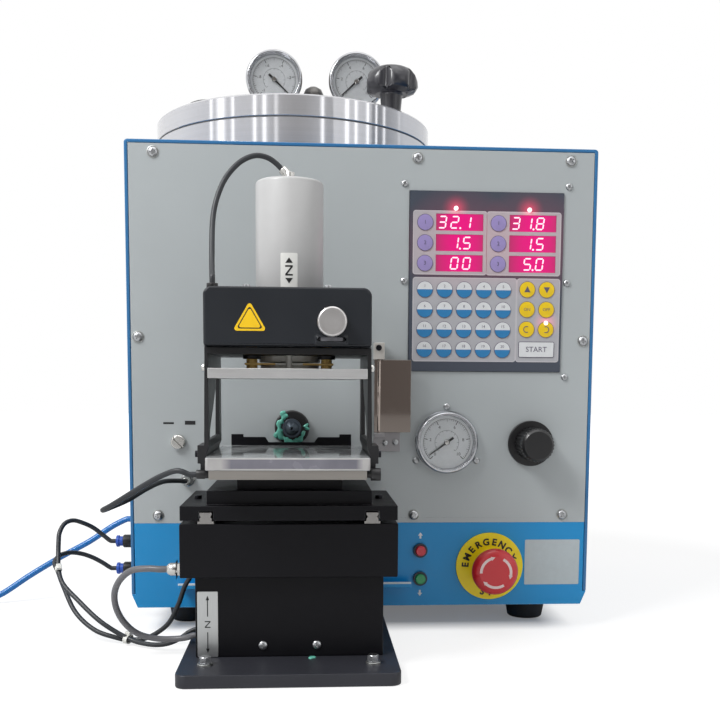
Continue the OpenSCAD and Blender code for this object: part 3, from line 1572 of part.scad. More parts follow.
cabinet_cover();
front_panel();
base_tray();
rear_panel();
screws_and_bolts();
cabinet_feet();
controller();
panel_gauge();
panel_gauge_lens();
panel_gauge_pointer();
regulator_body();
regulator_knob();
switch_bodies();
estop_plunger();
estop_head();
red_button();
green_button();
dose_screw();
nozzle_flange();
nozzle_tip();
feed_tube();
wax_pot();
heater_band();
lid_seal();
pot_lid();
lid_fittings();
lid_gauge_lenses();
pressure_pointer();
vacuum_pointer();
lid_knob_front();
lid_knob_rear();
vacuum_pump();
mains_inlet();
mirror_bracket();
side_mirror();
clamp_base();
tower_cover();
lift_cylinder();
lift_skirt();
lift_rods();
slide_rails();
slide_blocks();
carriage();
mould_bed();
acrylic_plate();
rear_fence();
press_frame();
clamp_plate();
press_rods();
head_cover();
head_knob();
press_cylinder();
press_fittings();
hose_fittings();
hose_upper();
hose_lower();
sensor_cables();
cylinder_hose();
supply_hose();
supply_coil();
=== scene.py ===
"""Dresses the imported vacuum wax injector: finishes, printing, fasteners, hoses and the studio round it.

Places in millimetres are measured as in the part's source: x from the cabinet's middle, y from the front
panel's face towards the back, z from the table.
"""

import math

import bmesh
import bpy
from mathutils import Matrix, Vector


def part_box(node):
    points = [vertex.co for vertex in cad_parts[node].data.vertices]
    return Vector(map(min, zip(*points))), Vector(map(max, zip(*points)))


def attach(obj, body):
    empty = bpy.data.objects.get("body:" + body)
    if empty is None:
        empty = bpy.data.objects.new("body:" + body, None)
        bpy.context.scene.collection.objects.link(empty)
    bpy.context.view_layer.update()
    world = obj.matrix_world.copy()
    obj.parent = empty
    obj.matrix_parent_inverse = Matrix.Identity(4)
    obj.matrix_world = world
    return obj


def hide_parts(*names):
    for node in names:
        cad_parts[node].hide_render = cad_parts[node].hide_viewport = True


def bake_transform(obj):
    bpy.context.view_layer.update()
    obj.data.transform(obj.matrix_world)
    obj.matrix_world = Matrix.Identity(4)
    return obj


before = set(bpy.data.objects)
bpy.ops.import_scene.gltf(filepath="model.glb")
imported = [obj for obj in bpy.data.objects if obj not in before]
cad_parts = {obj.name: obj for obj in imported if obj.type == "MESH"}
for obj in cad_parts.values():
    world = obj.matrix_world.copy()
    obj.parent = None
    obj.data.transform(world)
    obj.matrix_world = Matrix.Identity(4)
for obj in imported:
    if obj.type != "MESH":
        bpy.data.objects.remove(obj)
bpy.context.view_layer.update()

bl_info = {
    "name": "Vacuum wax injector",
    "version": (1, 0, 0),
    "blender": (4, 5, 0),
    "location": "View3D > Sidebar > Wax injector",
    "description": "Finishes, printing, fasteners and hoses of a vacuum wax injector",
    "category": "Object",
}

MM = 0.001
PANEL_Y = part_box("front_panel")[0].y


def at(x, y, z):
    """A place in millimetres from the front panel's face, as a point in metres."""
    return Vector((x * MM, PANEL_Y + y * MM, z * MM))


def tone(red, green, blue, alpha=1.0):
    """A screen colour of 0 to 255 as the linear colour that a shader takes."""
    def linear(v):
        v = v / 255
        return v / 12.92 if v <= 0.04045 else ((v + 0.055) / 1.055) ** 2.4
    return (linear(red), linear(green), linear(blue), alpha)


def colour_prop(name, description, default):
    """A colour that the sidebar offers."""
    return bpy.props.FloatVectorProperty(
        name=name, description=description, default=default, size=4, min=0, max=1, subtype="COLOR")


def length_prop(name, description, default):
    """A length in metres that the sidebar offers."""
    return bpy.props.FloatProperty(name=name, description=description, default=default, min=0, unit="LENGTH")


def power_prop(name, description, default):
    """A lamp's power in watts that the sidebar offers."""
    return bpy.props.FloatProperty(name=name, description=description, default=default, unit="POWER")


class InjectorFinish(bpy.types.PropertyGroup):
    """Colours of the painted, moulded and printed pieces."""
    cover_blue: colour_prop("Cover blue", "Paint of the folded cover", tone(40, 108, 160))
    tray_blue: colour_prop("Tray blue", "Paint of the base tray and its fascia", tone(4, 141, 205))
    panel_grey: colour_prop("Panel grey", "Paint of the front and rear panels", tone(172, 178, 180))
    clamp_black: colour_prop("Clamp black", "Powder coat of the clamp", tone(15, 15, 19))
    moulded_black: colour_prop("Moulded black", "Black plastic of knobs and housings", tone(19, 19, 21))
    overlay_grey: colour_prop("Overlay grey", "Membrane face of the controller", tone(66, 72, 84))
    window_glow: colour_prop("Window glow", "Lit windows of the controller", tone(226, 4, 122))
    digit_glow: colour_prop("Digit glow", "Lit digits of the controller", tone(255, 214, 228))
    stop_red: colour_prop("Stop red", "Head of the emergency stop", tone(206, 34, 44))
    stop_yellow: colour_prop("Stop yellow", "Disc of the emergency stop", tone(255, 226, 12))
    wax_teal: colour_prop("Wax teal", "Wax left round the nozzle", tone(104, 192, 172))
    supply_blue: colour_prop("Supply blue", "Supply hose and release collars", tone(22, 112, 184))


class InjectorHoses(bpy.types.PropertyGroup):
    """Diameters of the hoses and cables."""
    hose_d: length_prop("Air hose", "Diameter of the air hoses and the platform cable", 4 * MM)
    cable_d: length_prop("Lift cable", "Diameter of the lift's cable", 5 * MM)
    supply_d: length_prop("Supply hose", "Diameter of the supply hose", 6 * MM)
    tie_w: length_prop("Tie", "Width of a cable tie", 3.5 * MM)


class InjectorStudio(bpy.types.PropertyGroup):
    """Camera and light."""
    lens: bpy.props.FloatProperty(name="Lens", description="Focal length", default=46.9, unit="CAMERA")
    key_power: power_prop("Key", "Power of the key light", 42)
    fill_power: power_prop("Fill", "Power of the fill light and of the top light", 5)
    ambient: bpy.props.FloatProperty(
        name="Ambient", description="Strength of the light all round", default=0.34)


def maths(operation, swapped=False):
    """A method that adds one Math node, with its two values the other way round where asked."""
    def method(self, other):
        a, b = (other, self) if swapped else (self, other)
        return self.graph.node("ShaderNodeMath", {"operation": operation}, {0: a, 1: b})
    return method


class Sock:
    """A shader output that takes part in Python expressions and adds the Math nodes they need."""

    def __init__(self, graph, socket):
        self.graph = graph
        self.socket = socket

    __add__ = __radd__ = maths("ADD")
    __mul__ = __rmul__ = maths("MULTIPLY")
    __sub__, __rsub__ = maths("SUBTRACT"), maths("SUBTRACT", True)
    __truediv__ = maths("DIVIDE")
    __pow__ = maths("POWER")
    __gt__, __lt__ = maths("GREATER_THAN"), maths("LESS_THAN")


class Graph:
    """The nodes of one material or of the world."""

    def __init__(self, owner):
        owner.use_nodes = True
        self.tree = owner.node_tree
        self.tree.nodes.clear()

    def node(self, kind, settings=None, sockets=None, output=0):
        """Adds a node, sets it up, fills its sockets with values or links, and gives one of its outputs."""
        node = self.tree.nodes.new(kind)
        for key, value in (settings or {}).items():
            if key == "stops":
                ramp = node.color_ramp.elements
                ramp[0].position, ramp[0].color = value[0]
                ramp[1].position, ramp[1].color = value[-1]
                for place, colour in value[1:-1]:
                    ramp.new(place).color = colour
            else:
                setattr(node, key, value)
        for key, value in (sockets or {}).items():
            if isinstance(value, Sock):
                self.tree.links.new(value.socket, node.inputs[key])
            else:
                node.inputs[key].default_value = value
        return Sock(self, node.outputs[output])

    def mix(self, factor, a, b):
        """A colour between two colours."""
        return self.node("ShaderNodeMix", {"data_type": "RGBA"}, {0: factor, 6: a, 7: b}, 2)

    def mottle(self, value, colour, low, high):
        """A colour that goes from one share of itself to another."""
        return self.mix(value, shade(colour, low), shade(colour, high))

    def vector(self, operation, a, b=(0, 0, 0), output=0):
        """The vector that a Vector Math node gives, or with output 1 its number."""
        return self.node("ShaderNodeVectorMath", {"operation": operation}, {0: a, 1: b}, output)

    def ramp(self, value, start, end, low=0.0, high=1.0):
        """Goes from low to high as a value goes from start to end, and stays level outside them."""
        return self.node("ShaderNodeMapRange", None, {0: value, 1: start, 2: end, 3: low, 4: high})

    def layered(self, factor, below, above):
        """One surface over another."""
        return self.node("ShaderNodeMixShader", None, {0: factor, 1: below, 2: above})

    def place(self):
        """Where a point lies in the shared frame, in metres."""
        return self.node("ShaderNodeTexCoord", output=3)

    def axes(self):
        """The three coordinates of a point, in metres."""
        split = self.node("ShaderNodeSeparateXYZ", sockets={0: self.place()})
        return [Sock(self, o) for o in split.socket.node.outputs]

    def noise(self, scale, detail=2.0, stretch=(1, 1, 1)):
        """Cloudy values round a half, at a scale per metre that can differ along the axes."""
        where = self.vector("MULTIPLY", self.place(), tuple(scale * s for s in stretch))
        return self.node("ShaderNodeTexNoise", None, {"Vector": where, "Scale": 1.0, "Detail": detail})

    def edges(self, radius):
        """Near 0 on flat faces and higher on sharp outer edges."""
        soft = self.node("ShaderNodeBevel", {"samples": 4}, {"Radius": radius})
        true = self.node("ShaderNodeNewGeometry", output=1)
        return 1 - self.vector("DOT_PRODUCT", soft, true, 1)

    def bump(self, height, strength, distance):
        """A normal raised by a height."""
        return self.node(
            "ShaderNodeBump", None, {"Strength": strength, "Distance": distance, "Height": height})

    def shader(self, **sockets):
        """A Principled shader; underscores in a name stand for spaces."""
        named = {key.replace("_", " "): value for key, value in sockets.items()}
        return self.node("ShaderNodeBsdfPrincipled", None, named)

    def close(self, surface, output="ShaderNodeOutputMaterial"):
        """Ends the graph with its output."""
        end = self.tree.nodes.new(output)
        self.tree.links.new(surface.socket, end.inputs["Surface"])


FINISHES = {}


def finish(name, build):
    """The material of that name, built once by a function that gets its graph and returns the surface."""
    if name not in FINISHES:
        material = bpy.data.materials.new(name)
        graph = Graph(material)
        graph.close(build(graph))
        FINISHES[name] = material
    return FINISHES[name]


def shade(colour, factor):
    """A lighter or darker version of a colour."""
    return tuple(min(1.0, c * factor) for c in colour[:3]) + (1.0,)


def painted_sheet(name, colour, roughness, worn, coat=0.25, bare=None):
    """Sprayed paint on sheet metal: faint mottling, orange peel, pale worn edges and places left bare."""
    def build(g):
        clouds = g.noise(9, 3)
        pale_edges = g.edges(0.0009) * 5 * g.noise(260, 4) - 0.25
        if bare:
            pale_edges = pale_edges + bare(g) * 2
        body = g.mottle(clouds, colour, 0.93, 1.06)
        peel = g.noise(900, 1)
        return g.shader(
            Base_Color=g.mix(pale_edges, body, worn), Roughness=roughness + 0.12 * (g.noise(55, 3) - 0.5),
            Coat_Weight=coat, Coat_Roughness=0.16, Normal=g.bump(peel, 0.06, 0.0003))
    return finish(name, build)


def powder_coat(name, colour, worn, gloss=0.3):
    """Fine textured powder coat whose pale edges are partly wear and partly a painted highlight."""
    def build(g):
        grain = g.noise(2600, 2)
        # Pale edges: partly wear, partly a painted highlight where the overhead light would catch them.
        pale_edges = g.edges(0.0009) * 5 * g.noise(300, 4) - 0.2
        body = g.mottle(g.noise(14, 3), colour, 0.82, 1.22)
        return g.shader(
            Base_Color=g.mix(pale_edges, body, worn), Roughness=0.42 + 0.16 * (g.noise(40, 3) - 0.5),
            Specular_IOR_Level=gloss, Normal=g.bump(grain, 0.16, 0.0002))
    return finish(name, build)


def brushed_metal(name, colour, roughness, stretch, depth=0.14):
    """Metal with fine lines along one direction, given by how little the noise changes that way."""
    def build(g):
        lines = g.noise(2400, 2, stretch)
        clouds = g.noise(16, 3)
        return g.shader(
            Base_Color=g.mottle(lines, colour, 0.9, 1.08), Metallic=1.0,
            Roughness=roughness + 0.16 * (lines - 0.5) + 0.12 * (clouds - 0.5),
            Normal=g.bump(lines, depth, 0.0002))
    return finish(name, build)


SEAM_HALF = 0.0008


def turned_metal(name, colour, roughness, centre, axis, depth, metallic=1.0, seam=(-1.0, 0.0)):
    """Metal from the lathe, grooved round an axis; a seam is dark at one height outside one radius."""
    def build(g):
        flat = tuple(0.0 if i == axis else 1.0 for i in range(3))
        out = g.vector("MULTIPLY", g.vector("SUBTRACT", g.place(), tuple(centre)), flat)
        radius = g.vector("LENGTH", out, output=1)
        line = g.node("ShaderNodeCombineXYZ", None, {0: radius * 1500, 1: g.axes()[axis] * 1500})
        groove = g.node("ShaderNodeTexNoise", None, {"Vector": line, "Scale": 1.0, "Detail": 3.0})
        skin = g.mottle(groove, colour, 0.88, 1.08)
        grime = ((g.axes()[2] - seam[0]) ** 2 < SEAM_HALF ** 2) * (radius > seam[1])
        return g.shader(
            Base_Color=g.mix(grime, skin, shade(colour, 0.25)), Metallic=metallic - metallic * grime,
            Roughness=roughness * (0.55 + 0.6 * groove + 0.3 * g.noise(20, 3)) + 0.4 * grime,
            Normal=g.bump(groove, depth, 0.0002))
    return finish(name, build)


def plated_metal(name, colour, roughness):
    """Polished plating with a few faint smears."""
    def build(g):
        smear = g.noise(60, 4)
        return g.shader(
            Base_Color=g.mottle(smear, colour, 0.92, 1.05), Metallic=1.0,
            Roughness=roughness + 0.14 * (smear - 0.4))
    return finish(name, build)


def moulded(name, colour, roughness, grain=0.1, coat=0.0):
    """Moulded plastic or rubber with a fine grain and slightly uneven gloss."""
    def build(g):
        skin = g.noise(1700, 2)
        return g.shader(
            Base_Color=g.mottle(g.noise(30, 3), colour, 0.88, 1.1),
            Roughness=roughness + 0.14 * (g.noise(90, 3) - 0.5), Coat_Weight=coat, Coat_Roughness=0.08,
            Normal=g.bump(skin, grain, 0.0002))
    return finish(name, build)


def printed(name, colour, roughness=0.4):
    """Printing ink, a little uneven in tone."""
    def build(g):
        return g.shader(
            Base_Color=g.mottle(g.noise(220, 3), colour, 0.92, 1.05),
            Roughness=roughness + 0.1 * (g.noise(120, 2) - 0.5))
    return finish(name, build)


def lit(name, colour, strength):
    """A lit face, slightly uneven, over its own dull colour."""
    def build(g):
        return g.shader(
            Base_Color=shade(colour, 0.25), Roughness=0.3, Emission_Strength=strength,
            Emission_Color=g.mottle(g.noise(160, 2), colour, 0.86, 1.0))
    return finish(name, build)


def clear_lens(name):
    """Clear glass that lets light on to what lies behind it and shines at a slant."""
    def build(g):
        shine = g.node("ShaderNodeFresnel", None, {"IOR": 1.45})
        film = g.noise(70, 3) * 0.05
        through = g.node("ShaderNodeBsdfTransparent", None, {"Color": (0.99, 0.99, 0.99, 1)})
        gloss = g.shader(Base_Color=(0.8, 0.82, 0.84, 1), Roughness=0.04, Metallic=1.0)
        return g.layered(shine * 0.7 + film * 0.3, through, gloss)
    return finish(name, build)


def clear_acrylic(name):
    """Thick clear plate, faintly milky through its faces, with painted light: the flat faces take a whiter
    tint than the cut edges, and the cut edges carry a painted reflection, darker purple grey in the middle
    and paler near the ends and along their top and bottom.
    """
    def build(g):
        up = g.node("ShaderNodeSeparateXYZ", sockets={0: g.node("ShaderNodeNewGeometry", output=1)}, output=2)
        edge = (up ** 2 < 0.25)
        lo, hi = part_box("acrylic_plate")
        x, _, z = g.axes()
        # Painted highlight: bands near the plate's ends and along its top and bottom, where the cut edges are
        # painted paler.
        rim = (g.ramp(x, lo.x + 0.018, lo.x + 0.011) + g.ramp(x, hi.x - 0.01, hi.x - 0.005)
               + (z > hi.z - 0.0012) + (z < lo.z + 0.0012))
        scuff = g.noise(45, 4, (1, 3, 1))
        through = g.node("ShaderNodeBsdfTransparent", None, {"Color": (0.9, 0.93, 0.94, 1)})
        # Painted reflection on the cut edges: a darker purple grey between the paler bands.
        pale = g.mix(rim, g.mix(scuff, tone(116, 115, 126), tone(138, 137, 147)),
                     g.mix(scuff, tone(180, 178, 178), tone(206, 204, 203)))
        # Painted light: the flat faces take a whiter tint than the cut edges.
        pale = g.mix(edge, g.mix(scuff, tone(222, 226, 228), tone(238, 241, 242)), pale)
        skin = g.shader(Base_Color=pale, Roughness=0.2 + 0.12 * scuff)
        clear = g.layered(0.64 + 0.2 * (scuff - 0.4) + 0.16 * edge, through, skin)
        gloss = g.shader(Base_Color=(0.95, 0.96, 0.97, 1), Roughness=0.03 + 0.05 * scuff, Metallic=1.0)
        shine = g.node("ShaderNodeFresnel", None, {"IOR": 1.4})
        return g.layered(shine * 0.8, clear, gloss)
    return finish(name, build)


def two_finishes(name, split, first, second):
    """Two plain finishes in one node, told apart by place; each is (colour, metallic, roughness)."""
    def build(g):
        side = split(g)
        mottle = g.noise(120, 3)
        parts = [g.mottle(mottle, f[0], 0.9, 1.08) for f in (first, second)]
        rough = first[2] + side * (second[2] - first[2]) + 0.12 * (mottle - 0.5)
        return g.shader(
            Base_Color=g.mix(side, *parts), Metallic=first[1] + side * (second[1] - first[1]),
            Roughness=rough)
    return finish(name, build)


def past(axis, limit):
    """A mask of what lies beyond a coordinate in metres, along axis 0, 1 or 2."""
    return lambda g: g.axes()[axis] > limit


SOFT_ANGLE, PLAIN_ANGLE, WELD_GAP = 38, 0.4, 0.00001


def soften(obj, width, segments=2):
    """Rounds an object's sharper edges by that many millimetres."""
    soft = obj.modifiers.new("Soft edges", "BEVEL")
    soft.width, soft.segments = width * MM, segments
    soft.limit_method, soft.angle_limit = "ANGLE", math.radians(SOFT_ANGLE)
    soft.harden_normals = True
    return soft


def dress(node, material, bevel=0.0, segments=2):
    """Gives a CAD node its finish, and soft edges of that many millimetres where it has any."""
    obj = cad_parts[node]
    if not obj.material_slots:
        obj.data.materials.append(material)
    for slot in obj.material_slots:
        slot.material = material
    if bevel:
        obj.modifiers.new("Joined faces", "WELD").merge_threshold = WELD_GAP
        plain = obj.modifiers.new("Plain faces", "DECIMATE")
        plain.decimate_type, plain.angle_limit = "DISSOLVE", math.radians(PLAIN_ANGLE)
        soften(obj, bevel, segments).use_clamp_overlap = False


def facing(direction, point, spin=0.0):
    """A placing for flat work: its own z points along direction, its y up, and its origin is the point."""
    w = Vector(direction).normalized()
    up = Vector((0, 0, 1)) if abs(w.z) < 0.9 else Vector((0, 1, 0))
    u = up.cross(w).normalized()
    turn = Matrix((u, w.cross(u), w)).transposed().to_4x4()
    return Matrix.Translation(point) @ turn @ Matrix.Rotation(math.radians(spin), 4, "Z")


def on_panel(x, z, y=0.0, spin=0.0):
    """A placing on the front panel, facing the reader."""
    return facing((0, -1, 0), at(x, y, z), spin)


def on_top(x, y, z, spin=0.0):
    """A placing on a level face, facing up."""
    return facing((0, 0, 1), at(x, y, z), spin)


def shifted(placing, u, v, w=0.0):
    """A placing moved in its own directions, in millimetres."""
    return placing @ Matrix.Translation((u * MM, v * MM, w * MM))


def polar(r, degrees):
    """A point at a distance and an angle, counter-clockwise from the right."""
    return (r * math.cos(math.radians(degrees)), r * math.sin(math.radians(degrees)))


def disc(r, n=32):
    """A circle as an outline, in millimetres."""
    return [polar(r, 360 * i / n) for i in range(n)]


def arc(r, a0, a1, n):
    """Points along a circle between two angles in degrees."""
    return [polar(r, a0 + (a1 - a0) * i / n) for i in range(n + 1)]


def sector(r0, r1, a0, a1, n=16):
    """Part of a ring between two angles in degrees."""
    return arc(r1, a0, a1, n) + arc(r0, a0, a1, n)[::-1]


def rounded(w, h, r=0.0, n=5):
    """A rectangle about its middle with rounded corners."""
    if not r:
        return [(-w / 2, -h / 2), (w / 2, -h / 2), (w / 2, h / 2), (-w / 2, h / 2)]
    out = []
    for cx, cy, a0 in ((1, -1, -90), (1, 1, 0), (-1, 1, 90), (-1, -1, 180)):
        out += [(cx * (w / 2 - r) + x, cy * (h / 2 - r) + y) for x, y in arc(r, a0, a0 + 90, n)]
    return out


def moved(outline, x, y, spin=0.0):
    """An outline turned and put somewhere else."""
    c, s = math.cos(math.radians(spin)), math.sin(math.radians(spin))
    return [(x + c * u - s * v, y + s * u + c * v) for u, v in outline]


def stack(count, n):
    """Faces round a stack of rings with n points each, closed at both ends."""
    rows = [[k * n + i, k * n + (i + 1) % n, (k + 1) * n + (i + 1) % n, (k + 1) * n + i]
            for k in range(count - 1) for i in range(n)]
    return rows + [list(range(n))[::-1], list(range((count - 1) * n, count * n))]


class Piece:
    """Gathers forms, given in millimetres in a placing, into one mesh with several finishes."""

    def __init__(self):
        self.bm = bmesh.new()
        self.paints = []

    def index(self, paint):
        """The number of a finish in this piece."""
        if paint not in self.paints:
            self.paints.append(paint)
        return self.paints.index(paint)

    def faces(self, points, rows, paint, placing=None):
        """Adds faces on points that are in metres, or in millimetres where there is a placing."""
        if placing is not None:
            points = [placing @ (Vector(p) * MM) for p in points]
        made = [self.bm.verts.new(p) for p in points]
        for row in rows:
            face = self.bm.faces.new([made[i] for i in row])
            face.material_index = self.index(paint)
            face.smooth = True

    def prism(self, outline, low, high, paint, placing):
        """A flat form between two heights."""
        if sum(a[0] * b[1] - b[0] * a[1] for a, b in zip(outline, outline[1:] + outline[:1])) < 0:
            outline = outline[::-1]
        points = [(x, y, z) for z in (low, high) for x, y in outline]
        self.faces(points, stack(2, len(outline)), paint, placing)

    def lathe(self, profile, paint, placing, n=40, flutes=None):
        """A turned form from (radius, height) pairs; flutes varies the radius round the turn."""
        points, rows, ring = [], [], []
        for r, z in profile:
            if r <= 0:
                ring.append([len(points)])
                points.append((0, 0, z))
                continue
            ring.append(list(range(len(points), len(points) + n)))
            for i in range(n):
                points.append((*polar(r * (flutes(i) if flutes else 1.0), 360 * i / n), z))
        for a, b in zip(ring, ring[1:]):
            for i in range(n):
                j = (i + 1) % n
                row = list(dict.fromkeys((a[i % len(a)], a[j % len(a)], b[j % len(b)], b[i % len(b)])))
                if len(row) > 2:
                    rows.append(row)
        self.faces(points, rows, paint, placing)

    def stamp(self, mesh, paint, placing, scale):
        """A copy of a ready mesh of unit size."""
        points = [tuple(c * s for c, s in zip(v.co, scale)) for v in mesh.vertices]
        self.faces(points, [list(p.vertices) for p in mesh.polygons], paint, placing)

    def words(self, text, size, paint, placing, low=-0.05, high=0.12, heavy=0.0):
        """Plain lettering or figures, centred; heavy thickens the strokes."""
        curve = bpy.data.curves.new("figures", "FONT")
        curve.body, curve.size, curve.resolution_u, curve.offset = text, size, 3, heavy
        curve.align_x, curve.align_y = "CENTER", "CENTER"
        holder = bpy.data.objects.new("figures", curve)
        bpy.context.scene.collection.objects.link(holder)
        shape = holder.evaluated_get(bpy.context.evaluated_depsgraph_get()).to_mesh()
        flat = bmesh.new()
        flat.from_mesh(shape)
        bmesh.ops.remove_doubles(flat, verts=flat.verts, dist=1e-4)
        top = bmesh.ops.extrude_face_region(flat, geom=flat.faces[:])["geom"]
        for v in flat.verts:
            v.co.z = low
        for v in (g for g in top if isinstance(g, bmesh.types.BMVert)):
            v.co.z = high
        flat.verts.index_update()
        # The extruded sides come in no fixed order, so they are sorted to give the same mesh each run
        rows = sorted([v.index for v in f.verts] for f in flat.faces)
        self.faces([v.co[:] for v in flat.verts], rows, paint, placing)
        flat.free()
        bpy.data.objects.remove(holder)
        bpy.data.curves.remove(curve)

    def tube(self, path, d, paint, sides=14):
        """A round tube along points in metres."""
        side = Vector((0.1, 0.2, 1))
        points = []
        for i, p in enumerate(path):
            along = (path[min(i + 1, len(path) - 1)] - path[max(i - 1, 0)]).normalized()
            side = (side - along * side.dot(along)).normalized()
            across = along.cross(side)
            points += [p + (side * u + across * v) * d / 2 for u, v in disc(1, sides)]
        self.faces(points, stack(len(path), sides), paint)

    def band(self, loop, width, thickness, paint, placing):
        """A flat strip closed round a loop that lies in the placing's own plane."""
        n = len(loop)
        points, rows = [], []
        for i, (x, y) in enumerate(loop):
            before, after = Vector(loop[i - 1]), Vector(loop[(i + 1) % n])
            along = (after - before).normalized()
            out = Vector((along.y, -along.x)) * thickness
            for ox, oy, z in ((0, 0, -1), (out.x, out.y, -1), (out.x, out.y, 1), (0, 0, 1)):
                points.append((x + ox, y + oy, z * width / 2))
        for i in range(n):
            j = (i + 1) % n
            rows += [[i * 4 + k, i * 4 + (k + 1) % 4, j * 4 + (k + 1) % 4, j * 4 + k] for k in range(4)]
        self.faces(points, rows, paint, placing)

    def build(self, name, body=None, slot=None, replaces=(), bevel=0.0, sharp=35):
        """Makes the object, with soft edges where asked, and lets it ride on a body."""
        bmesh.ops.recalc_face_normals(self.bm, faces=self.bm.faces[:])
        mesh = bpy.data.meshes.new(name)
        self.bm.to_mesh(mesh)
        self.bm.free()
        for paint in self.paints:
            mesh.materials.append(paint)
        mesh.set_sharp_from_angle(angle=math.radians(sharp))
        obj = bpy.data.objects.new(name, mesh)
        bpy.context.scene.collection.objects.link(obj)
        if bevel:
            soften(obj, bevel)
        if body:
            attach(obj, body)
        if replaces:
            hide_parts(*replaces)
        return obj


def cut_mesh(name, body, cutter):
    """One piece's mesh with another piece's mesh taken out of it."""
    solid, tool = body.build(name), cutter.build(name + "_tool")
    cut = solid.modifiers.new("Recess", "BOOLEAN")
    cut.object, cut.operation, cut.solver = tool, "DIFFERENCE", "EXACT"
    mesh = bpy.data.meshes.new_from_object(solid.evaluated_get(bpy.context.evaluated_depsgraph_get()))
    for obj in (solid, tool):
        bpy.data.objects.remove(obj)
    return mesh


# Finishes that several pieces share


def steel():
    return brushed_metal("bright_steel", tone(178, 180, 182), 0.3, (1, 1, 1), 0.06)


def nickel():
    return plated_metal("nickel_plate", tone(205, 204, 200), 0.16)


def chrome():
    return plated_metal("chrome_plate", tone(196, 198, 202), 0.1)


def brass():
    return plated_metal("brass", tone(186, 150, 84), 0.24)


def blackened():
    return plated_metal("blackened_steel", tone(44, 44, 48), 0.34)


def black_ink():
    return printed("black_ink", tone(24, 24, 26))


def white_ink():
    return printed("white_ink", tone(228, 230, 230))


def black_plastic(finishes):
    return moulded("moulded_black", finishes.moulded_black, 0.38, 0.12)


# Stage


CAMERA_AT = (-48.32, -817.55, 217.93)
CAMERA_TURN = (84.4839, -0.3783, -3.7778)
CAMERA_SHIFT = (-0.0141, 0.1597)
LAMP_TUBES = (
    (-69.8, 1.2), (-60.5, 8), (-49.6, 1.2), (-31, 1.4), (-23, 2.2), (-13.5, 1.6),
    (23.6, 1.6), (44.2, 2.2), (52.3, 0.8), (63.1, 0.8), (71.7, 0.6), (80, 1.2), (98, 1))
LAMP_WHITE, TUBE_FADE = (3, 3, 3, 1), 0.003
ROOM_GREY = (0.5, 0.5, 0.51, 1)
ROOM_DARK = (0.07, 0.052, 0.042, 1)
WHITE = (1, 1, 1, 1)
FLOOR_SIZE, FLOOR_DROP = 12.0, 0.0004
FLOOR_NEAR, FLOOR_FAR = 0.55, 1.2
SHADE_INNER_X, SHADE_OUTER_X, SHADE_BACK_Y = 0.165, 0.195, 0.26
LAMPS = (
    ("key_light", "key_power", (0.8, 0.8), (-1.3, -1.05, 1.8), (-40, 60, 230)),
    ("fill_light", "fill_power", (1.4, 1.8), (1.7, -1.5, 0.9), (-40, 60, 230)),
    ("top_light", "fill_power", (1.2, 0.9), (0.1, -0.35, 1.7), (-62, -90, 100)))


def area_light(name, power, size, place, target):
    """A soft rectangular lamp that points at a place."""
    lamp = bpy.data.lights.new(name, "AREA")
    lamp.energy, lamp.shape = power, "RECTANGLE"
    lamp.size, lamp.size_y = size
    obj = bpy.data.objects.new(name, lamp)
    obj.location = place
    obj.rotation_euler = (Vector(target) - Vector(place)).to_track_quat("-Z", "Y").to_euler()
    bpy.context.scene.collection.objects.link(obj)


def build_camera(studio):
    data = bpy.data.cameras.new("Camera")
    data.lens, data.sensor_width = studio.lens, 36
    data.shift_x, data.shift_y = CAMERA_SHIFT
    data.clip_start, data.clip_end = 0.01, 50
    camera = bpy.data.objects.new("Camera", data)
    camera.location = at(*CAMERA_AT)
    camera.rotation_euler = [math.radians(a) for a in CAMERA_TURN]
    bpy.context.scene.collection.objects.link(camera)
    bpy.context.scene.camera = camera


def ray(g, name):
    """1 for light paths of one kind."""
    return Sock(g, g.node("ShaderNodeLightPath").socket.node.outputs[name])


def tube_wall(g, bearing, tubes):
    """A grey wall that darkens to the right, with lamp tubes given as (bearing, width) in degrees."""
    def wall(place):
        return shade(ROOM_GREY, 2.2 - 2.4 * place)
    stops = [(0.0, wall(0.25))]
    for middle, width in tubes:
        place, reach = middle / 360 + 0.5, width / 720 + TUBE_FADE
        stops += [(place - reach, wall(place)), (place, LAMP_WHITE), (place + reach, wall(place))]
    return g.node("ShaderNodeValToRGB", {"stops": stops + [(1.0, wall(0.75))]}, {0: bearing})


def room(g):
    """What shiny pieces reflect: a white backdrop, and in front a dim room with lamp tubes."""
    x, y, z = (Sock(g, o) for o in g.node(
        "ShaderNodeSeparateXYZ", sockets={0: g.node("ShaderNodeTexCoord")}).socket.node.outputs)
    bearing = g.node("ShaderNodeMath", {"operation": "ARCTAN2"}, {0: x, 1: 0 - y}) / (2 * math.pi) + 0.5
    left, right = (
        tube_wall(g, bearing, [t for t in LAMP_TUBES if (t[0] > 0) == side]) for side in (False, True))
    walls = g.mix(x > 0, left, right)
    dusk = g.ramp((x ** 2) * 9, 0.0, 1.0, 0.75, 0.0)
    walls = g.mix(dusk * (y < 0), walls, ROOM_DARK)
    beside, overhead = g.ramp(y, -0.25, 0.25), g.ramp(z, 0.45, 0.75)
    return g.mix(1 - (1 - beside) * (1 - overhead), walls, WHITE)


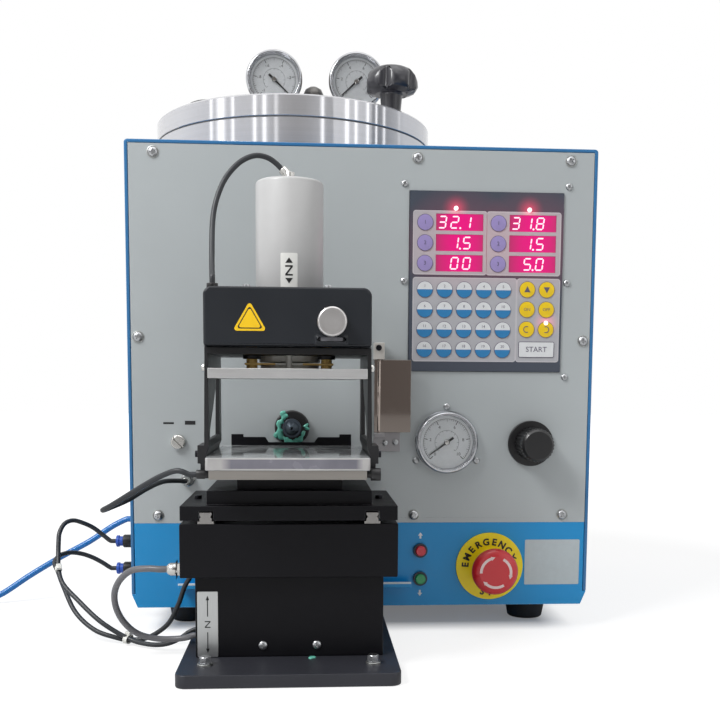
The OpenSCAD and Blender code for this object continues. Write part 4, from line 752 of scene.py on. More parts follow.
def floor_paint(g):
    """A pale floor that keeps the object's shadow and turns white further off; under the cabinet's footprint
    it loses most of its glow, a painted shadow darker than the rest.
    """
    matt = g.shader(Base_Color=g.mix(g.noise(6, 3), (0.8, 0.8, 0.8, 1), (0.84, 0.84, 0.84, 1)), Roughness=0.8)
    glow = g.node("ShaderNodeEmission", None, {"Color": WHITE, "Strength": 1.28})
    far = g.ramp(g.vector("LENGTH", g.place(), output=1), FLOOR_NEAR, FLOOR_FAR)
    x, y, _ = g.axes()
    # Painted shadow: the cabinet's footprint on the floor, where the glow is taken down so the floor goes
    # darker.
    painted_shadow_patch = (g.ramp(x ** 2, SHADE_OUTER_X ** 2, SHADE_INNER_X ** 2)
             * g.ramp(y, PANEL_Y - 0.004, PANEL_Y + 0.03) * (y < SHADE_BACK_Y))
    return g.layered(ray(g, "Is Camera Ray") * (0.62 + 0.38 * far - 0.5 * painted_shadow_patch), matt, glow)


def build_stage(studio):
    scene = bpy.context.scene
    scene.view_settings.view_transform = "Standard"
    world = bpy.data.worlds.new("Studio")
    scene.world = world
    g = Graph(world)
    plain, shiny, white = (
        g.node("ShaderNodeBackground", None, {"Color": colour, "Strength": strength})
        for colour, strength in ((WHITE, studio.ambient), (room(g), 1.0), (WHITE, 1.0)))
    seen = (ray(g, "Is Camera Ray") + ray(g, "Is Transmission Ray")) > 0.5
    light = g.layered(ray(g, "Is Glossy Ray"), plain, shiny)
    g.close(g.layered(seen, light, white), "ShaderNodeOutputWorld")

    floor = Piece()
    half = FLOOR_SIZE / 2
    floor.faces([(-half, -half, 0), (half, -half, 0), (half, half, 0), (-half, half, 0)], [[0, 1, 2, 3]],
                finish("studio_floor", floor_paint))
    ground = floor.build("studio_floor")
    ground.location.z = -FLOOR_DROP
    for name, power, size, place, target in LAMPS:
        area_light(name, getattr(studio, power), size, place, at(*target))


# Hoses and cables


UPPER_HOSE = [
    (-222, 40, 74.5), (-227, 40, 74.5), (-234, 40, 80), (-242, 38, 87), (-250, 34, 92), (-258, 30, 95),
    (-264, 24, 93), (-267, 18, 86), (-267, 14, 79), (-266, 8, 68), (-264, 0, 57), (-258, -10, 46),
    (-243, -22, 34.5), (-221, -36, 19), (-198, -41, 6), (-181, -50, 3.5), (-166, -57, 5), (-154, -59, 9.5),
    (-145, -58.5, 15.5), (-138, -58, 18), (-133.5, -58, 18)]
LOWER_HOSE = [
    (-222, 40, 49.5), (-227, 40, 49.5), (-235, 39, 55), (-243, 37, 60), (-252, 34, 64), (-261, 29, 66),
    (-268, 21, 65), (-271, 14, 60), (-266, 6, 53), (-260, 0, 41), (-247, -14, 22), (-228, -28, 10),
    (-208, -34, 4.5), (-199, -35.5, 3.5), (-183, -39, 5.5), (-165, -45, 18), (-155, -50, 36),
    (-149, -53.5, 52), (-142, -56, 64), (-138, -57.5, 73), (-137.5, -58, 82), (-137.5, -58, 97),
    (-137.5, -58, 107), (-137.5, -58, 112)]
LIFT_CABLE = [
    (-154, -108, 77.5), (-160, -108, 77.5), (-170, -105.5, 77.5), (-183, -100, 75), (-193, -94, 66.5),
    (-198.5, -88, 55), (-198.5, -83, 42), (-193.5, -78, 29), (-184, -73, 18.5), (-170, -70, 13.5),
    (-156, -70, 13), (-146, -72, 14.5), (-139.5, -74, 17), (-133.5, -74, 17)]
PLATFORM_CABLE = [
    (-126, -159, 154.5), (-131, -159, 154.5), (-140, -158, 157), (-155, -150, 151), (-175, -138, 139),
    (-191, -128.5, 129), (-199, -121, 124.5), (-196, -112, 125), (-184.5, -99, 129.5), (-175, -75, 135),
    (-167, -45, 137.5), (-157, -27, 136.5), (-152, -18, 135), (-152, -12, 135)]
PLATFORM_FOLD = 6
CYLINDER_HOSE = [
    (-67.7, -99, 376.7), (-71.3, -99, 380.3), (-78.5, -100.5, 384.6), (-88, -104, 384.8),
    (-98.5, -108.7, 378.5), (-108, -113, 366.5), (-114, -118, 351), (-116.5, -124.5, 334),
    (-116, -138, 308), (-115, -148, 295), (-114.5, -152, 291.5), (-114.5, -152, 287)]
SUPPLY_HOSE = [
    (-226, 150, 79), (-233, 150, 79), (-249, 149, 71), (-270, 145, 57), (-298, 136, 42), (-325, 125, 26),
    (-351, 117.5, 9), (-370, 115.5, 3.5), (-381, 115.5, 3)]
COIL_X, COIL_EDGE_Y = -395, 115.5
COIL_R, COIL_PITCH, COIL_TURNS, COIL_STEPS, COIL_DIP = 24.5, 6.6, 3.375, 24, 1.2
COIL_OUTER = COIL_R + COIL_TURNS * COIL_PITCH
COIL_Y = COIL_EDGE_Y - COIL_OUTER
COIL_LOW = 3
COUPLER_R, COUPLER_Y = 7, COIL_Y - 50
TIE_SPOT, TIE_T = (-264, 0, 57), 0.9
PAIR_SPOT, PAIR_ALONG = (-198.5, -38.2, 4.9), (0.92, -0.36, -0.12)


def smooth_route(route, step=2.0):
    """Points along a curve through the route's points, straight in its first and last stretch."""
    pts = [Vector(p) for p in route]
    out = []
    for i in range(len(pts) - 1):
        b, c = pts[i], pts[i + 1]
        n = max(1, round((c - b).length / step))
        for k in range(n):
            t = k / n
            if i in (0, len(pts) - 2):
                out.append(b + (c - b) * t)
                continue
            a, d = pts[i - 1], pts[i + 2]
            out.append(0.5 * (2 * b + (c - a) * t + (2 * a - 5 * b + 4 * c - d) * t * t
                              + (3 * b - a - 3 * c + d) * t ** 3))
    return [at(*p) for p in out + [pts[-1]]]


def coil_route():
    """The supply hose's coil: in along the lower layer, up half a turn, out along the upper layer."""
    inward, half = COIL_TURNS * COIL_STEPS, COIL_STEPS / 2
    out = [(COIL_X + 7, COIL_EDGE_Y, COIL_LOW)]
    for i in range(int(2 * inward + half) * 2 + 1):
        i = i / 2
        climb = min(max((i - inward) / half, 0), 1)
        share = i / inward if i <= inward else 1 if i <= inward + half else 1 - (i - inward - half) / inward
        r = COIL_OUTER - share * COIL_TURNS * COIL_PITCH - COIL_DIP * math.sin(math.pi * climb)
        u, v = polar(r, 90 + i * 360 / COIL_STEPS)
        out.append((COIL_X + u, COIL_Y + v, COIL_LOW + climb * COIL_PITCH))
    x = COIL_X - COIL_OUTER
    out += [(x, COIL_Y - d, COIL_LOW + COIL_PITCH - d * 0.065) for d in (10, 20, 30, 40)]
    out += [(x, COUPLER_Y + 6, COUPLER_R), (x, COUPLER_Y, COUPLER_R)]
    return [at(*p) for p in out]


def path_length(path):
    """A path's length in metres."""
    return sum((b - a).length for a, b in zip(path, path[1:]))


def nearest(path, spot):
    """The number of the path's point that is nearest to a place in millimetres."""
    return min(range(len(path)), key=lambda i: (path[i] - at(*spot)).length)


def hose_skin(name, colour, roughness):
    """Extruded tube: smooth and slightly waxy."""
    return moulded(name, colour, roughness, 0.05, 0.08)


def knurl(depth):
    """The radius of a ribbed ring round its turn: every other point lies lower by a share."""
    return lambda i: 1 - depth if i % 2 else 1.0


def lay_hose(name, path, d, paint, nodes,
             slot="black_plastic"):
    piece = Piece()
    piece.tube(path, d, paint)
    obj = piece.build(name, slot=slot, replaces=nodes)
    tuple(path[0])
    round(path_length(path), 3)
    return obj


def build_hoses(hoses, finishes):
    black = hose_skin("hose_black", tone(30, 34, 39), 0.5)
    grey = hose_skin("cable_grey", tone(104, 104, 108), 0.4)
    blue = hose_skin("supply_blue", finishes.supply_blue, 0.26)
    upper = smooth_route(UPPER_HOSE)
    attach(lay_hose("upper_air_hose", upper, hoses.hose_d, black, ["hose_upper"]), "cabinet")
    hose = lay_hose("lower_air_hose", smooth_route(LOWER_HOSE), hoses.hose_d, black, ["hose_lower"])
    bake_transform(hose)
    hose = lay_hose("lift_cable", smooth_route(LIFT_CABLE), hoses.cable_d, grey, ["sensor_cables"])
    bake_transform(hose)

    fold, fold_spot = smooth_route(PLATFORM_CABLE), PLATFORM_CABLE[PLATFORM_FOLD]
    turn = nearest(fold, fold_spot)
    hose = lay_hose("platform_cable", fold[:turn + 1], hoses.hose_d, black, ["sensor_cables"])
    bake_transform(hose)
    hose = lay_hose("platform_cable_return", fold[:turn - 1:-1], hoses.hose_d, black, ["sensor_cables"])
    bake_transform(hose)
    hose = lay_hose("cylinder_air_hose", smooth_route(CYLINDER_HOSE), hoses.hose_d, black, ["cylinder_hose"])
    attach(hose, "carriage")
    coupler = build_coupler(finishes)
    hose = lay_hose("supply_air_hose", smooth_route(SUPPLY_HOSE) + coil_route(), hoses.supply_d, blue,
                    ["supply_hose", "supply_coil"],
                    slot="blue_plastic")
    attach(hose, "cabinet")
    build_ties(hoses, upper)


def build_coupler(finishes):
    """Brass quick coupler on the end of the supply hose."""
    piece = Piece()
    placing = facing((0, -1, 0), at(COIL_X - COIL_OUTER, COUPLER_Y, COUPLER_R))
    piece.lathe([(3.4, -1.5), (5.2, 0), (5.2, 6), (4.6, 6.6)], black_plastic(finishes), placing)
    piece.prism(disc(6.9, 6), 6.5, 13, brass(), placing)
    piece.lathe([(5.8, 13), (6.6, 13.4), (6.9, 14.4), (6.9, 31.6), (6.4, 33)], nickel(), placing, 56,
                knurl(0.035))
    piece.lathe([(6.2, 33), (6.2, 40), (5.4, 41), (5.4, 44.6), (4.6, 45), (3.6, 45), (3.6, 36), (0, 36)],
                brass(), placing)
    return piece.build("supply_coupler", "cabinet", "blue_plastic", ["hose_fittings"])


def build_ties(hoses, upper):
    """Pale ties on the air hoses and round the coil."""
    white = moulded("tie_white", tone(226, 226, 220), 0.42, 0.05)
    piece = Piece()
    width = hoses.tie_w / MM
    near = nearest(upper, TIE_SPOT)
    single = facing(upper[near + 1] - upper[near - 1], upper[near])
    both = facing(PAIR_ALONG, at(*PAIR_SPOT))
    wide = [(4.9 * x, 3.1 * y) for x, y in disc(1, 28)]
    for placing, loop, lock_h, lock_y in ((single, disc(2.05, 20), 3.4, 3.6), (both, wide, 3.2, 4.6)):
        piece.band(loop, width, TIE_T, white, placing)
        piece.prism(rounded(4.4, lock_h, 0.6), -2.2, 2.2, white, shifted(placing, 0, lock_y))
    for turn in (20, 200):
        u, v = polar(1, turn)
        r = (COIL_R + COIL_OUTER) / 2
        piece.band(rounded(COIL_OUTER - COIL_R + 6.4, 12.9, 3, 6), 4, 0.7, white,
                   facing((-v, u, 0), at(COIL_X + r * u, COIL_Y + r * v, 6.6)))
    piece.build("hose_ties", "cabinet", "blue_plastic")


SIDE_FITTINGS = ((40, 74.5, 20), (40, 49.5, 20), (150, 79, 24))
CONNECTOR_X, CONNECTOR_Z = -152, 135
GLAND_Y, GLAND_Z, GLAND_SUNK = -108, 77.5, 10.5


def build_fittings(finishes):
    """Push-in fittings on the cabinet's left side and the platform cable's connector."""
    collar = moulded("collar_blue", tone(40, 84, 180), 0.32, 0.05, 0.1)
    piece = Piece()
    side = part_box("cabinet_cover")[0].x / MM
    for y, z, reach in SIDE_FITTINGS:
        placing = facing((-1, 0, 0), at(side, y, z))
        piece.lathe([(3.8, -8), (3.8, 0.2)], nickel(), placing)
        piece.prism(disc(6.5, 6), 0, 4, nickel(), placing)
        piece.lathe([(5.6, 3.9), (5.9, 4.4), (5.9, reach - 7), (5.2, reach - 6.2)], black_plastic(finishes),
                    placing)
        piece.lathe([(4.4, reach - 6.4), (4.4, reach - 3), (5.3, reach - 2.6), (5.3, reach - 0.4),
                     (4.6, reach), (2.4, reach), (2.4, reach - 4)], collar, placing)
    placing = on_panel(CONNECTOR_X, CONNECTOR_Z)
    piece.lathe([(6, 0), (6, 2.4), (5.4, 3)], nickel(), placing)
    piece.lathe([(4.4, 2.8), (4.9, 3.2), (4.9, 8.6), (4.4, 9)], steel(), placing, 48, knurl(0.05))
    piece.lathe([(3.6, 8.8), (3.6, 12), (3.0, 13.5), (2.4, 16), (1.9, 16)], nickel(), placing)
    piece.build("hose_and_cable_fittings", "cabinet", "blue_plastic", ["hose_fittings"], 0.2)
    gland = Piece()
    placing = facing((-1, 0, 0), at(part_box("lift_skirt")[0].x / MM + GLAND_SUNK, GLAND_Y, GLAND_Z))
    gland.prism(disc(5.2, 6), 0, 3.4, nickel(), placing)
    gland.lathe([(4.6, 3.2), (4.9, 3.8), (4.9, 8.6), (4.1, 10.2), (2.7, 11.4), (2.4, 11.4)], nickel(),
                placing)
    gland.build("lift_cable_gland", "lift", "chrome", bevel=0.2)


# Cabinet


LIP_Y, LIP_LOW_Z, LIP_HIGH_Z = -11.5, 44.4, 46.4
REAR_SCREW_INSET, REAR_SCREW_LOW, REAR_SCREW_HIGH = 0.012, 0.03, 0.018


def ledge_lip(g):
    """A mask of the bare front edge of the tray's ledge."""
    _, y, z = g.axes()
    low, high = at(0, LIP_Y, LIP_LOW_Z), at(0, LIP_Y, LIP_HIGH_Z)
    return (y < low.y) * (z > low.z) * (z < high.z)


def build_cabinet(finishes):
    dress("cabinet_cover", painted_sheet("cover_paint", finishes.cover_blue, 0.32, tone(150, 176, 194)), 0.9)
    tray = painted_sheet("tray_paint", finishes.tray_blue, 0.36, tone(206, 216, 222), 0.05, ledge_lip)
    dress("base_tray", tray, 0.6)
    panel = painted_sheet("panel_paint", finishes.panel_grey, 0.24, tone(205, 210, 210), 0.5)
    dress("front_panel", panel, 0.3)
    dress("rear_panel", panel)
    dress("cabinet_feet", moulded("foot_rubber", tone(32, 32, 33), 0.7, 0.3), 1.5, 3)
    dress("mains_inlet", black_plastic(finishes), 0.5)
    dress("vacuum_pump", brushed_metal("cast_aluminium", tone(150, 152, 154), 0.45, (1, 1, 1), 0.3), 0.8)
    dress("heater_band", brushed_metal("heater_steel", tone(170, 158, 132), 0.35, (1, 1, 0.02)))
    dress("feed_tube", steel())
    build_fasteners()
    rear = Piece()
    lo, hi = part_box("rear_panel")
    for side in (-1, 1):
        for z in (lo.z + REAR_SCREW_LOW, (lo.z + hi.z) / 2, hi.z - REAR_SCREW_HIGH):
            spot = Vector((side * (hi.x - REAR_SCREW_INSET), hi.y, z))
            rear.stamp(screw_head("cross"), steel(), facing((0, 1, 0), spot), (3.6, 3.6, 3.4))
    rear.build("rear_screws", "cabinet", "steel")


CROSS_ARM, CROSS_HALF = 0.56, 0.13
MASTERS = {}


def screw_head(kind):
    """A head of unit size, made once: a pan head with a cross, or a cap screw's with a hexagon socket."""
    if kind not in MASTERS:
        if kind == "cross":
            profile = [(0, -0.1), (1, -0.1), (1, 0.12)]
            profile += [(math.cos(a) * 0.98, 0.14 + 0.42 * math.sin(a)) for a in (0.15, 0.5, 0.85, 1.15, 1.4)]
            profile += [(0, 0.56)]
            corner = [(CROSS_ARM, -CROSS_HALF), (CROSS_ARM, CROSS_HALF), (CROSS_HALF, CROSS_HALF)]
            recess = [p for spin in (0, 90, 180, 270) for p in moved(corner, 0, 0, spin)]
            low, high = 0.24, 0.9
        else:
            profile = [(0, -0.1), (1, -0.1), (1, 0.9), (0.92, 1), (0, 1)]
            recess, low, high = disc(0.58, 6), 0.45, 1.3
        head, tool = Piece(), Piece()
        plain = Matrix.Scale(1 / MM, 4)
        head.lathe(profile, steel(), plain, 36)
        tool.prism(recess, low, high, steel(), plain)
        MASTERS[kind] = cut_mesh(kind + "_head", head, tool)
    return MASTERS[kind]


# The nozzle, the pot and the clamp share one upright plane
AXIS_X = -62
CABINET_TOP, SEAM_Z = 421, 96.6
SCREW_ROWS = (CABINET_TOP - 10.5, SEAM_Z + 6.7)
PANEL_SCREWS = (
    [(s * 178, z) for s in (-1, 1) for z in SCREW_ROWS] + [(s * 192.7, 257) for s in (-1, 1)]
    + [(45.2, z) for z in SCREW_ROWS])
OVERLAY_X, OVERLAY_Z, OVERLAY_W = 38.7, 229.9, 133.7
CONTROLLER_SCREWS = [
    (OVERLAY_X + x, OVERLAY_Z + z) for x in (-4.5, OVERLAY_W + 4.5) for z in (-4.5, 77, 159)]
GAUGE_X, GAUGE_Z, GAUGE_R = 73.1, 167.78, 27.15
GAUGE_SCREWS = [
    (GAUGE_X + u, GAUGE_Z + v) for u, v in (polar(GAUGE_R + 4.2, a) for a in (90, 211, 329))]
TOWER_FRONT, BASE_T, TRAY_Z = -113, 10, 22
TOWER_SCREW_X, TOWER_SCREW_Z = 20.5, BASE_T + 9
BOLT_X, FRONT_BOLT_Y, BACK_BOLT_Y = 62.5, -133, 8


def build_fasteners():
    """Screws of the panel, the controller, the gauge and the tower, and the clamp's bolts."""
    piece = Piece()
    cross = screw_head("cross")
    washer = brushed_metal("zinc_washer", tone(168, 170, 168), 0.4, (1, 1, 1), 0.1)
    for i, (x, z) in enumerate(PANEL_SCREWS):
        piece.stamp(cross, steel(), on_panel(x, z, spin=17 * i), (4.2, 4.2, 4.4))
        piece.lathe([(5, 0), (5, 0.7), (4.3, 0.9)], washer, on_panel(x, z), 28)
    for i, (x, z) in enumerate(CONTROLLER_SCREWS + GAUGE_SCREWS):
        piece.stamp(cross, steel(), on_panel(x, z, spin=31 * i), (3, 3, 3.6))
    for s in (-1, 1):
        piece.stamp(cross, steel(), on_panel(AXIS_X + s * TOWER_SCREW_X, TOWER_SCREW_Z, TOWER_FRONT, 20 * s),
                    (3.5, 3.5, 3.6))
        front = on_top(AXIS_X + s * BOLT_X, FRONT_BOLT_Y, BASE_T, 14 * s)
        piece.lathe([(5.6, 0), (5.6, 1.2), (5.2, 1.5), (3.2, 1.5)], washer, front, 32)
        piece.lathe([(4.7, 1.5), (4.7, 2.4), (3.2, 2.6)], steel(), front, 28)
        piece.prism(disc(4.5, 6), 2.5, 6.4, steel(), front)
        piece.lathe([(3.8, 6.35), (3.5, 6.8), (0, 7.0)], steel(), front, 24)
        back = on_top(AXIS_X + s * BOLT_X, BACK_BOLT_Y, 0)
        piece.prism(disc(5.75, 6), BASE_T, TRAY_Z, steel(), back)
        piece.prism(disc(5.75, 6), TRAY_Z + 3, TRAY_Z + 8, steel(), back)
        end = [(3, 3), (3, 10.6), (2.5, 11), (0, 11)]
        piece.lathe([(r, TRAY_Z + z) for r, z in end], steel(), back, 20)
    piece.build("screws_and_clamp_bolts", "cabinet", "steel", ["screws_and_bolts"], 0.15)


# Controller


DISPLAYS = ((("32.1", "1.5", "00"), 22.6), (("31.8", "1.5", "5.0"), 86.4))
SEGMENTS = {"0": "abcdef", "1": "bc", "2": "abged", "3": "abgcd", "5": "afgcd", "8": "abcdefg"}
DIGIT_W, DIGIT_H, STROKE, DIGIT_STEP, DIGIT_EDGE = 5.8, 9.6, 1.2, 10.6, 6.4
LEDS = ((39.7, 138.8), (103.6, 138.5), (120.1, 42.3))
WINDOW_W, WINDOW_H, WINDOW_Z, WINDOW_STEP = 41, 14.2, 85.4, 17.3
FILM_FACE = -1.5
DISPLAY_FIELDS = ((3.6, 83.4, 66.1, 136), (67.3, 83.4, 130.9, 136))
KEY_FIELDS = ((3.8, 9.1, 93.1, 79.6), (94.6, 9.1, 131.2, 79.6))
KEY_STEP, KEY_R, SELECT_R = 17.1, 7.1, 7
NUMBER_KEYS_X, NUMBER_KEYS_Z = 13.6, 18.7
SELECT_KEYS_X, SELECT_KEYS_Z, SELECT_STEP = (13.3, 76.8), 92.2, 17.25
YELLOW_KEYS_X, YELLOW_KEYS_Z = 103.1, 36.6
START_X, START_Z = 112.1, 19.2


def digit(piece, sign, paint, placing, high):
    """A lit figure of seven slanted bars."""
    w, h, t = DIGIT_W / 2, DIGIT_H / 2, STROKE / 2
    bars = {
        "a": (0, h, 0), "g": (0, 0, 0), "d": (0, -h, 0), "f": (-w, h / 2, 90), "b": (w, h / 2, 90),
        "e": (-w, -h / 2, 90), "c": (w, -h / 2, 90)}
    for name in SEGMENTS[sign]:
        x, y, spin = bars[name]
        half = (w if spin == 0 else h / 2) - 0.25
        bar = [(-half, 0), (t - half, -t), (half - t, -t), (half, 0), (half - t, t), (t - half, t)]
        slanted = [(u + 0.13 * v, v) for u, v in moved(bar, x, y, spin)]
        piece.prism(slanted, -0.05, high, paint, placing)


def overlay_at(u, v, lift=0.0):
    """A placing on the controller's face, in millimetres from its lower left corner."""
    return on_panel(OVERLAY_X + u, OVERLAY_Z + v, FILM_FACE - lift)


def corners(x0, z0, x1, z1):
    """A rectangle's outline from its lower left and upper right corners."""
    return [(x0, z0), (x1, z0), (x1, z1), (x0, z1)]


def windowed_field(piece, x0, z0, x1, z1, window_x, paint):
    """A printed field that leaves a column of three display windows open."""
    sills = [WINDOW_Z + j * WINDOW_STEP for j in range(3)]
    strips = [(x0, z0, window_x, z1), (window_x + WINDOW_W, z0, x1, z1)]
    strips += [(window_x, a, window_x + WINDOW_W, b)
               for a, b in zip([z0] + [z + WINDOW_H for z in sills], sills + [z1])]
    for strip in strips:
        piece.prism(corners(*strip), -0.1, 0.1, paint, overlay_at(0, 0))


def rim(piece, x0, z0, x1, z1, paint):
    """A pale printed line round a field of the overlay."""
    w, h = x1 - x0, z1 - z0
    outer = moved(rounded(w + 1.6, h + 1.6, 2.4), (x0 + x1) / 2, (z0 + z1) / 2)
    inner = moved(rounded(w, h, 1.6), (x0 + x1) / 2, (z0 + z1) / 2)
    n = len(outer)
    points = [(x, z, lift) for lift in (-0.1, 0.14) for ring in (outer, inner) for x, z in ring]
    rows = []
    for i in range(n):
        j = (i + 1) % n
        rows += [[2 * n + i, 2 * n + j, 3 * n + j, 3 * n + i], [j, i, n + i, n + j],
                 [i, j, 2 * n + j, 2 * n + i], [n + j, n + i, 3 * n + i, 3 * n + j]]
    piece.faces(points, rows, paint, overlay_at(0, 0))


def glowing_film(name, colour):
    """Printed film with a painted red glow from the lamps and windows next to it."""
    def build(g):
        x, _, z = g.axes()
        # Painted glow: red light from the lamps and windows, painted on the film as emission.
        shine = 0
        for u, v in LEDS:
            away = g.vector("DISTANCE", g.place(), at(OVERLAY_X + u, -2, OVERLAY_Z + v), 1)
            shine = shine + g.ramp(away, 0.014, 0.001, 0.0, 0.8) ** 2
        for _, window_x in DISPLAYS:
            middle = at(OVERLAY_X + window_x + WINDOW_W / 2, 0, OVERLAY_Z + WINDOW_Z + 1.4 * WINDOW_STEP)
            away = ((x - middle.x) / 0.05) ** 2 + ((z - middle.z) / 0.045) ** 2
            shine = shine + g.ramp(away, 1.2, 0.0, 0.0, 0.08)
        return g.shader(
            Base_Color=g.mottle(g.noise(160, 3), colour, 0.94, 1.05),
            Roughness=0.34 + 0.1 * (g.noise(90, 2) - 0.5), Emission_Strength=1.0,
            Emission_Color=g.mix(shine, (0, 0, 0, 1), tone(255, 44, 92)))
    return finish(name, build)


def window_light(colour):
    """The red behind a display window, brightest round its figures."""
    def build(g):
        x = g.axes()[0]
        near = 0
        for _, window_x in DISPLAYS:
            middle = at(OVERLAY_X + window_x + WINDOW_W * 0.54, 0, 0).x
            near = near + g.ramp(((x - middle) / 0.022) ** 2, 0.0, 1.0, 1.0, 0.0)
        return g.shader(
            Base_Color=shade(colour, 0.2), Roughness=0.3, Emission_Strength=0.9,
            Emission_Color=g.mix(near * (0.8 + 0.4 * g.noise(160, 2)), tone(164, 48, 94), colour))
    return finish("window_lit", build)


def reading(face, text, x, z, digits):
    """The lit figures of one display window, whose middle is given."""
    whole = text.replace(".", "")
    start = x + DIGIT_EDGE - (len(whole) - 1) * DIGIT_STEP
    for i, sign in enumerate(whole):
        digit(face, sign, digits, overlay_at(start + i * DIGIT_STEP, z, -0.4), 0.14)
    if "." in text:
        spot = overlay_at(start + (text.find(".") - 0.55) * DIGIT_STEP, z - DIGIT_H / 2, -0.4)
        face.prism(disc(0.85, 12), -0.1, 0.14, digits, spot)


def key_bed(face, x, z, r, ink):
    """The dark ring under a round key."""
    face.lathe([(r, 0.05), (r, 0.56), (0, 0.56)], ink, overlay_at(x, z), 36)


def round_key(face, x, z, r, ink, paint):
    """A round key with a softly raised face."""
    key_bed(face, x, z, r, ink)
    profile = [(r - 0.4, 0.4), (r - 0.4, 0.66), (r - 1, 0.78), (0, 0.84)]
    face.lathe(profile, paint, overlay_at(x, z), 36)


def print_fields(face):
    """Grey fields with pale rims, open at the display windows."""
    light = glowing_film("field_grey", tone(170, 170, 175))
    pale = glowing_film("field_rim", tone(188, 186, 190))
    for field, (_, window_x) in zip(DISPLAY_FIELDS, DISPLAYS):
        windowed_field(face, *field, window_x, light)
        rim(face, *field, pale)
    for field in KEY_FIELDS:
        face.prism(corners(*field), -0.1, 0.1, light, overlay_at(0, 0))
        rim(face, *field, pale)


def light_displays(face, finishes):
    """The lit lamps, and the display windows with their figures."""
    led = lit("led_lit", tone(255, 236, 240), 1.6)
    glow, digits = window_light(finishes.window_glow), lit("digit_lit", finishes.digit_glow, 1.3)
    for x, z in LEDS:
        face.lathe([(1.9, 0), (1.9, 0.9), (1.3, 1.5), (0, 1.7)], led, overlay_at(x, z), 20)
    for figures, window_x in DISPLAYS:
        for row, text in enumerate(figures):
            x, z = window_x + WINDOW_W / 2, WINDOW_Z + (2 - row) * WINDOW_STEP + WINDOW_H / 2
            face.prism(rounded(WINDOW_W - 0.2, WINDOW_H - 0.2), -0.55, -0.4, glow, overlay_at(x, z))
            reading(face, text, x, z, digits)


def key_paint(name, red, green, blue):
    return printed("key_" + name, tone(red, green, blue), 0.3)


def print_number_keys(face, ink, white):
    """Twenty numbered keys, half white and half blue, and six selection keys."""
    blue, purple = key_paint("blue", 44, 122, 176), key_paint("purple", 152, 138, 190)
    for j in range(4):
        for i in range(5):
            x, z = NUMBER_KEYS_X + i * KEY_STEP, NUMBER_KEYS_Z + j * KEY_STEP
            key_bed(face, x, z, KEY_R, ink)
            for start, paint in ((0, white), (180, blue)):
                face.prism(arc(KEY_R - 0.4, start, start + 180, 18), 0.4, 0.72, paint, overlay_at(x, z))
            face.words(str((3 - j) * 5 + i + 1), 3.4, ink, overlay_at(x, z + 2.8, 0.7))
    for x in SELECT_KEYS_X:
        for j in range(3):
            z = SELECT_KEYS_Z + j * SELECT_STEP
            round_key(face, x, z, SELECT_R, ink, purple)
            face.words(str(3 - j), 4.6, ink, overlay_at(x, z, 0.82))


def print_command_keys(face, ink, white):
    """Six yellow keys with open rings, words and pointers, and the start key."""
    yellow = key_paint("yellow", 232, 196, 26)
    for i, way, word, start in ((0, 1, "ON", 60), (1, -1, "OFF", -120)):
        x = YELLOW_KEYS_X + i * KEY_STEP
        turned, lettered, pointed = (YELLOW_KEYS_Z + j * KEY_STEP for j in range(3))
        for z in (turned, lettered, pointed):
            round_key(face, x, z, KEY_R, ink, yellow)
        open_ring = sector(2.2, 2.9, start, start + 240, 18)
        face.prism(open_ring, -0.1, 0.24, ink, overlay_at(x, turned, 0.7))
        face.words(word, 3.8, ink, overlay_at(x, lettered, 0.82))
        pointer = [(-2.7, -2.2 * way), (2.7, -2.2 * way), (0, 3 * way)]
        face.prism(pointer, -0.1, 0.24, ink, overlay_at(x, pointed, 0.7))
    start = overlay_at(START_X, START_Z)
    face.prism(rounded(31.6, 13.8, 1.4), 0.1, 0.5, ink, start)
    face.prism(rounded(30.6, 12.8, 1), 0.3, 0.66, white, start)
    face.words("START", 6.4, ink, overlay_at(START_X, START_Z, 0.66))


def build_controller(finishes):
    dress("controller", glowing_film("overlay_film", finishes.overlay_grey))
    ink = printed("key_outline", tone(92, 86, 106), 0.36)
    white = key_paint("white", 214, 216, 218)
    face = Piece()
    print_fields(face)
    light_displays(face, finishes)
    print_number_keys(face, ink, white)
    print_command_keys(face, ink, white)
    face.build("controller_print", "cabinet", "black_plastic")


# Gauges


DIAL_R, DIAL_FACE, DIAL_SWEEP = 23.1, 3.22, 270
FIGURES_R, OUTER_SCALE_R, INNER_SCALE_R, INNER_STEPS = 14.6, 20.6, 10.5, 12


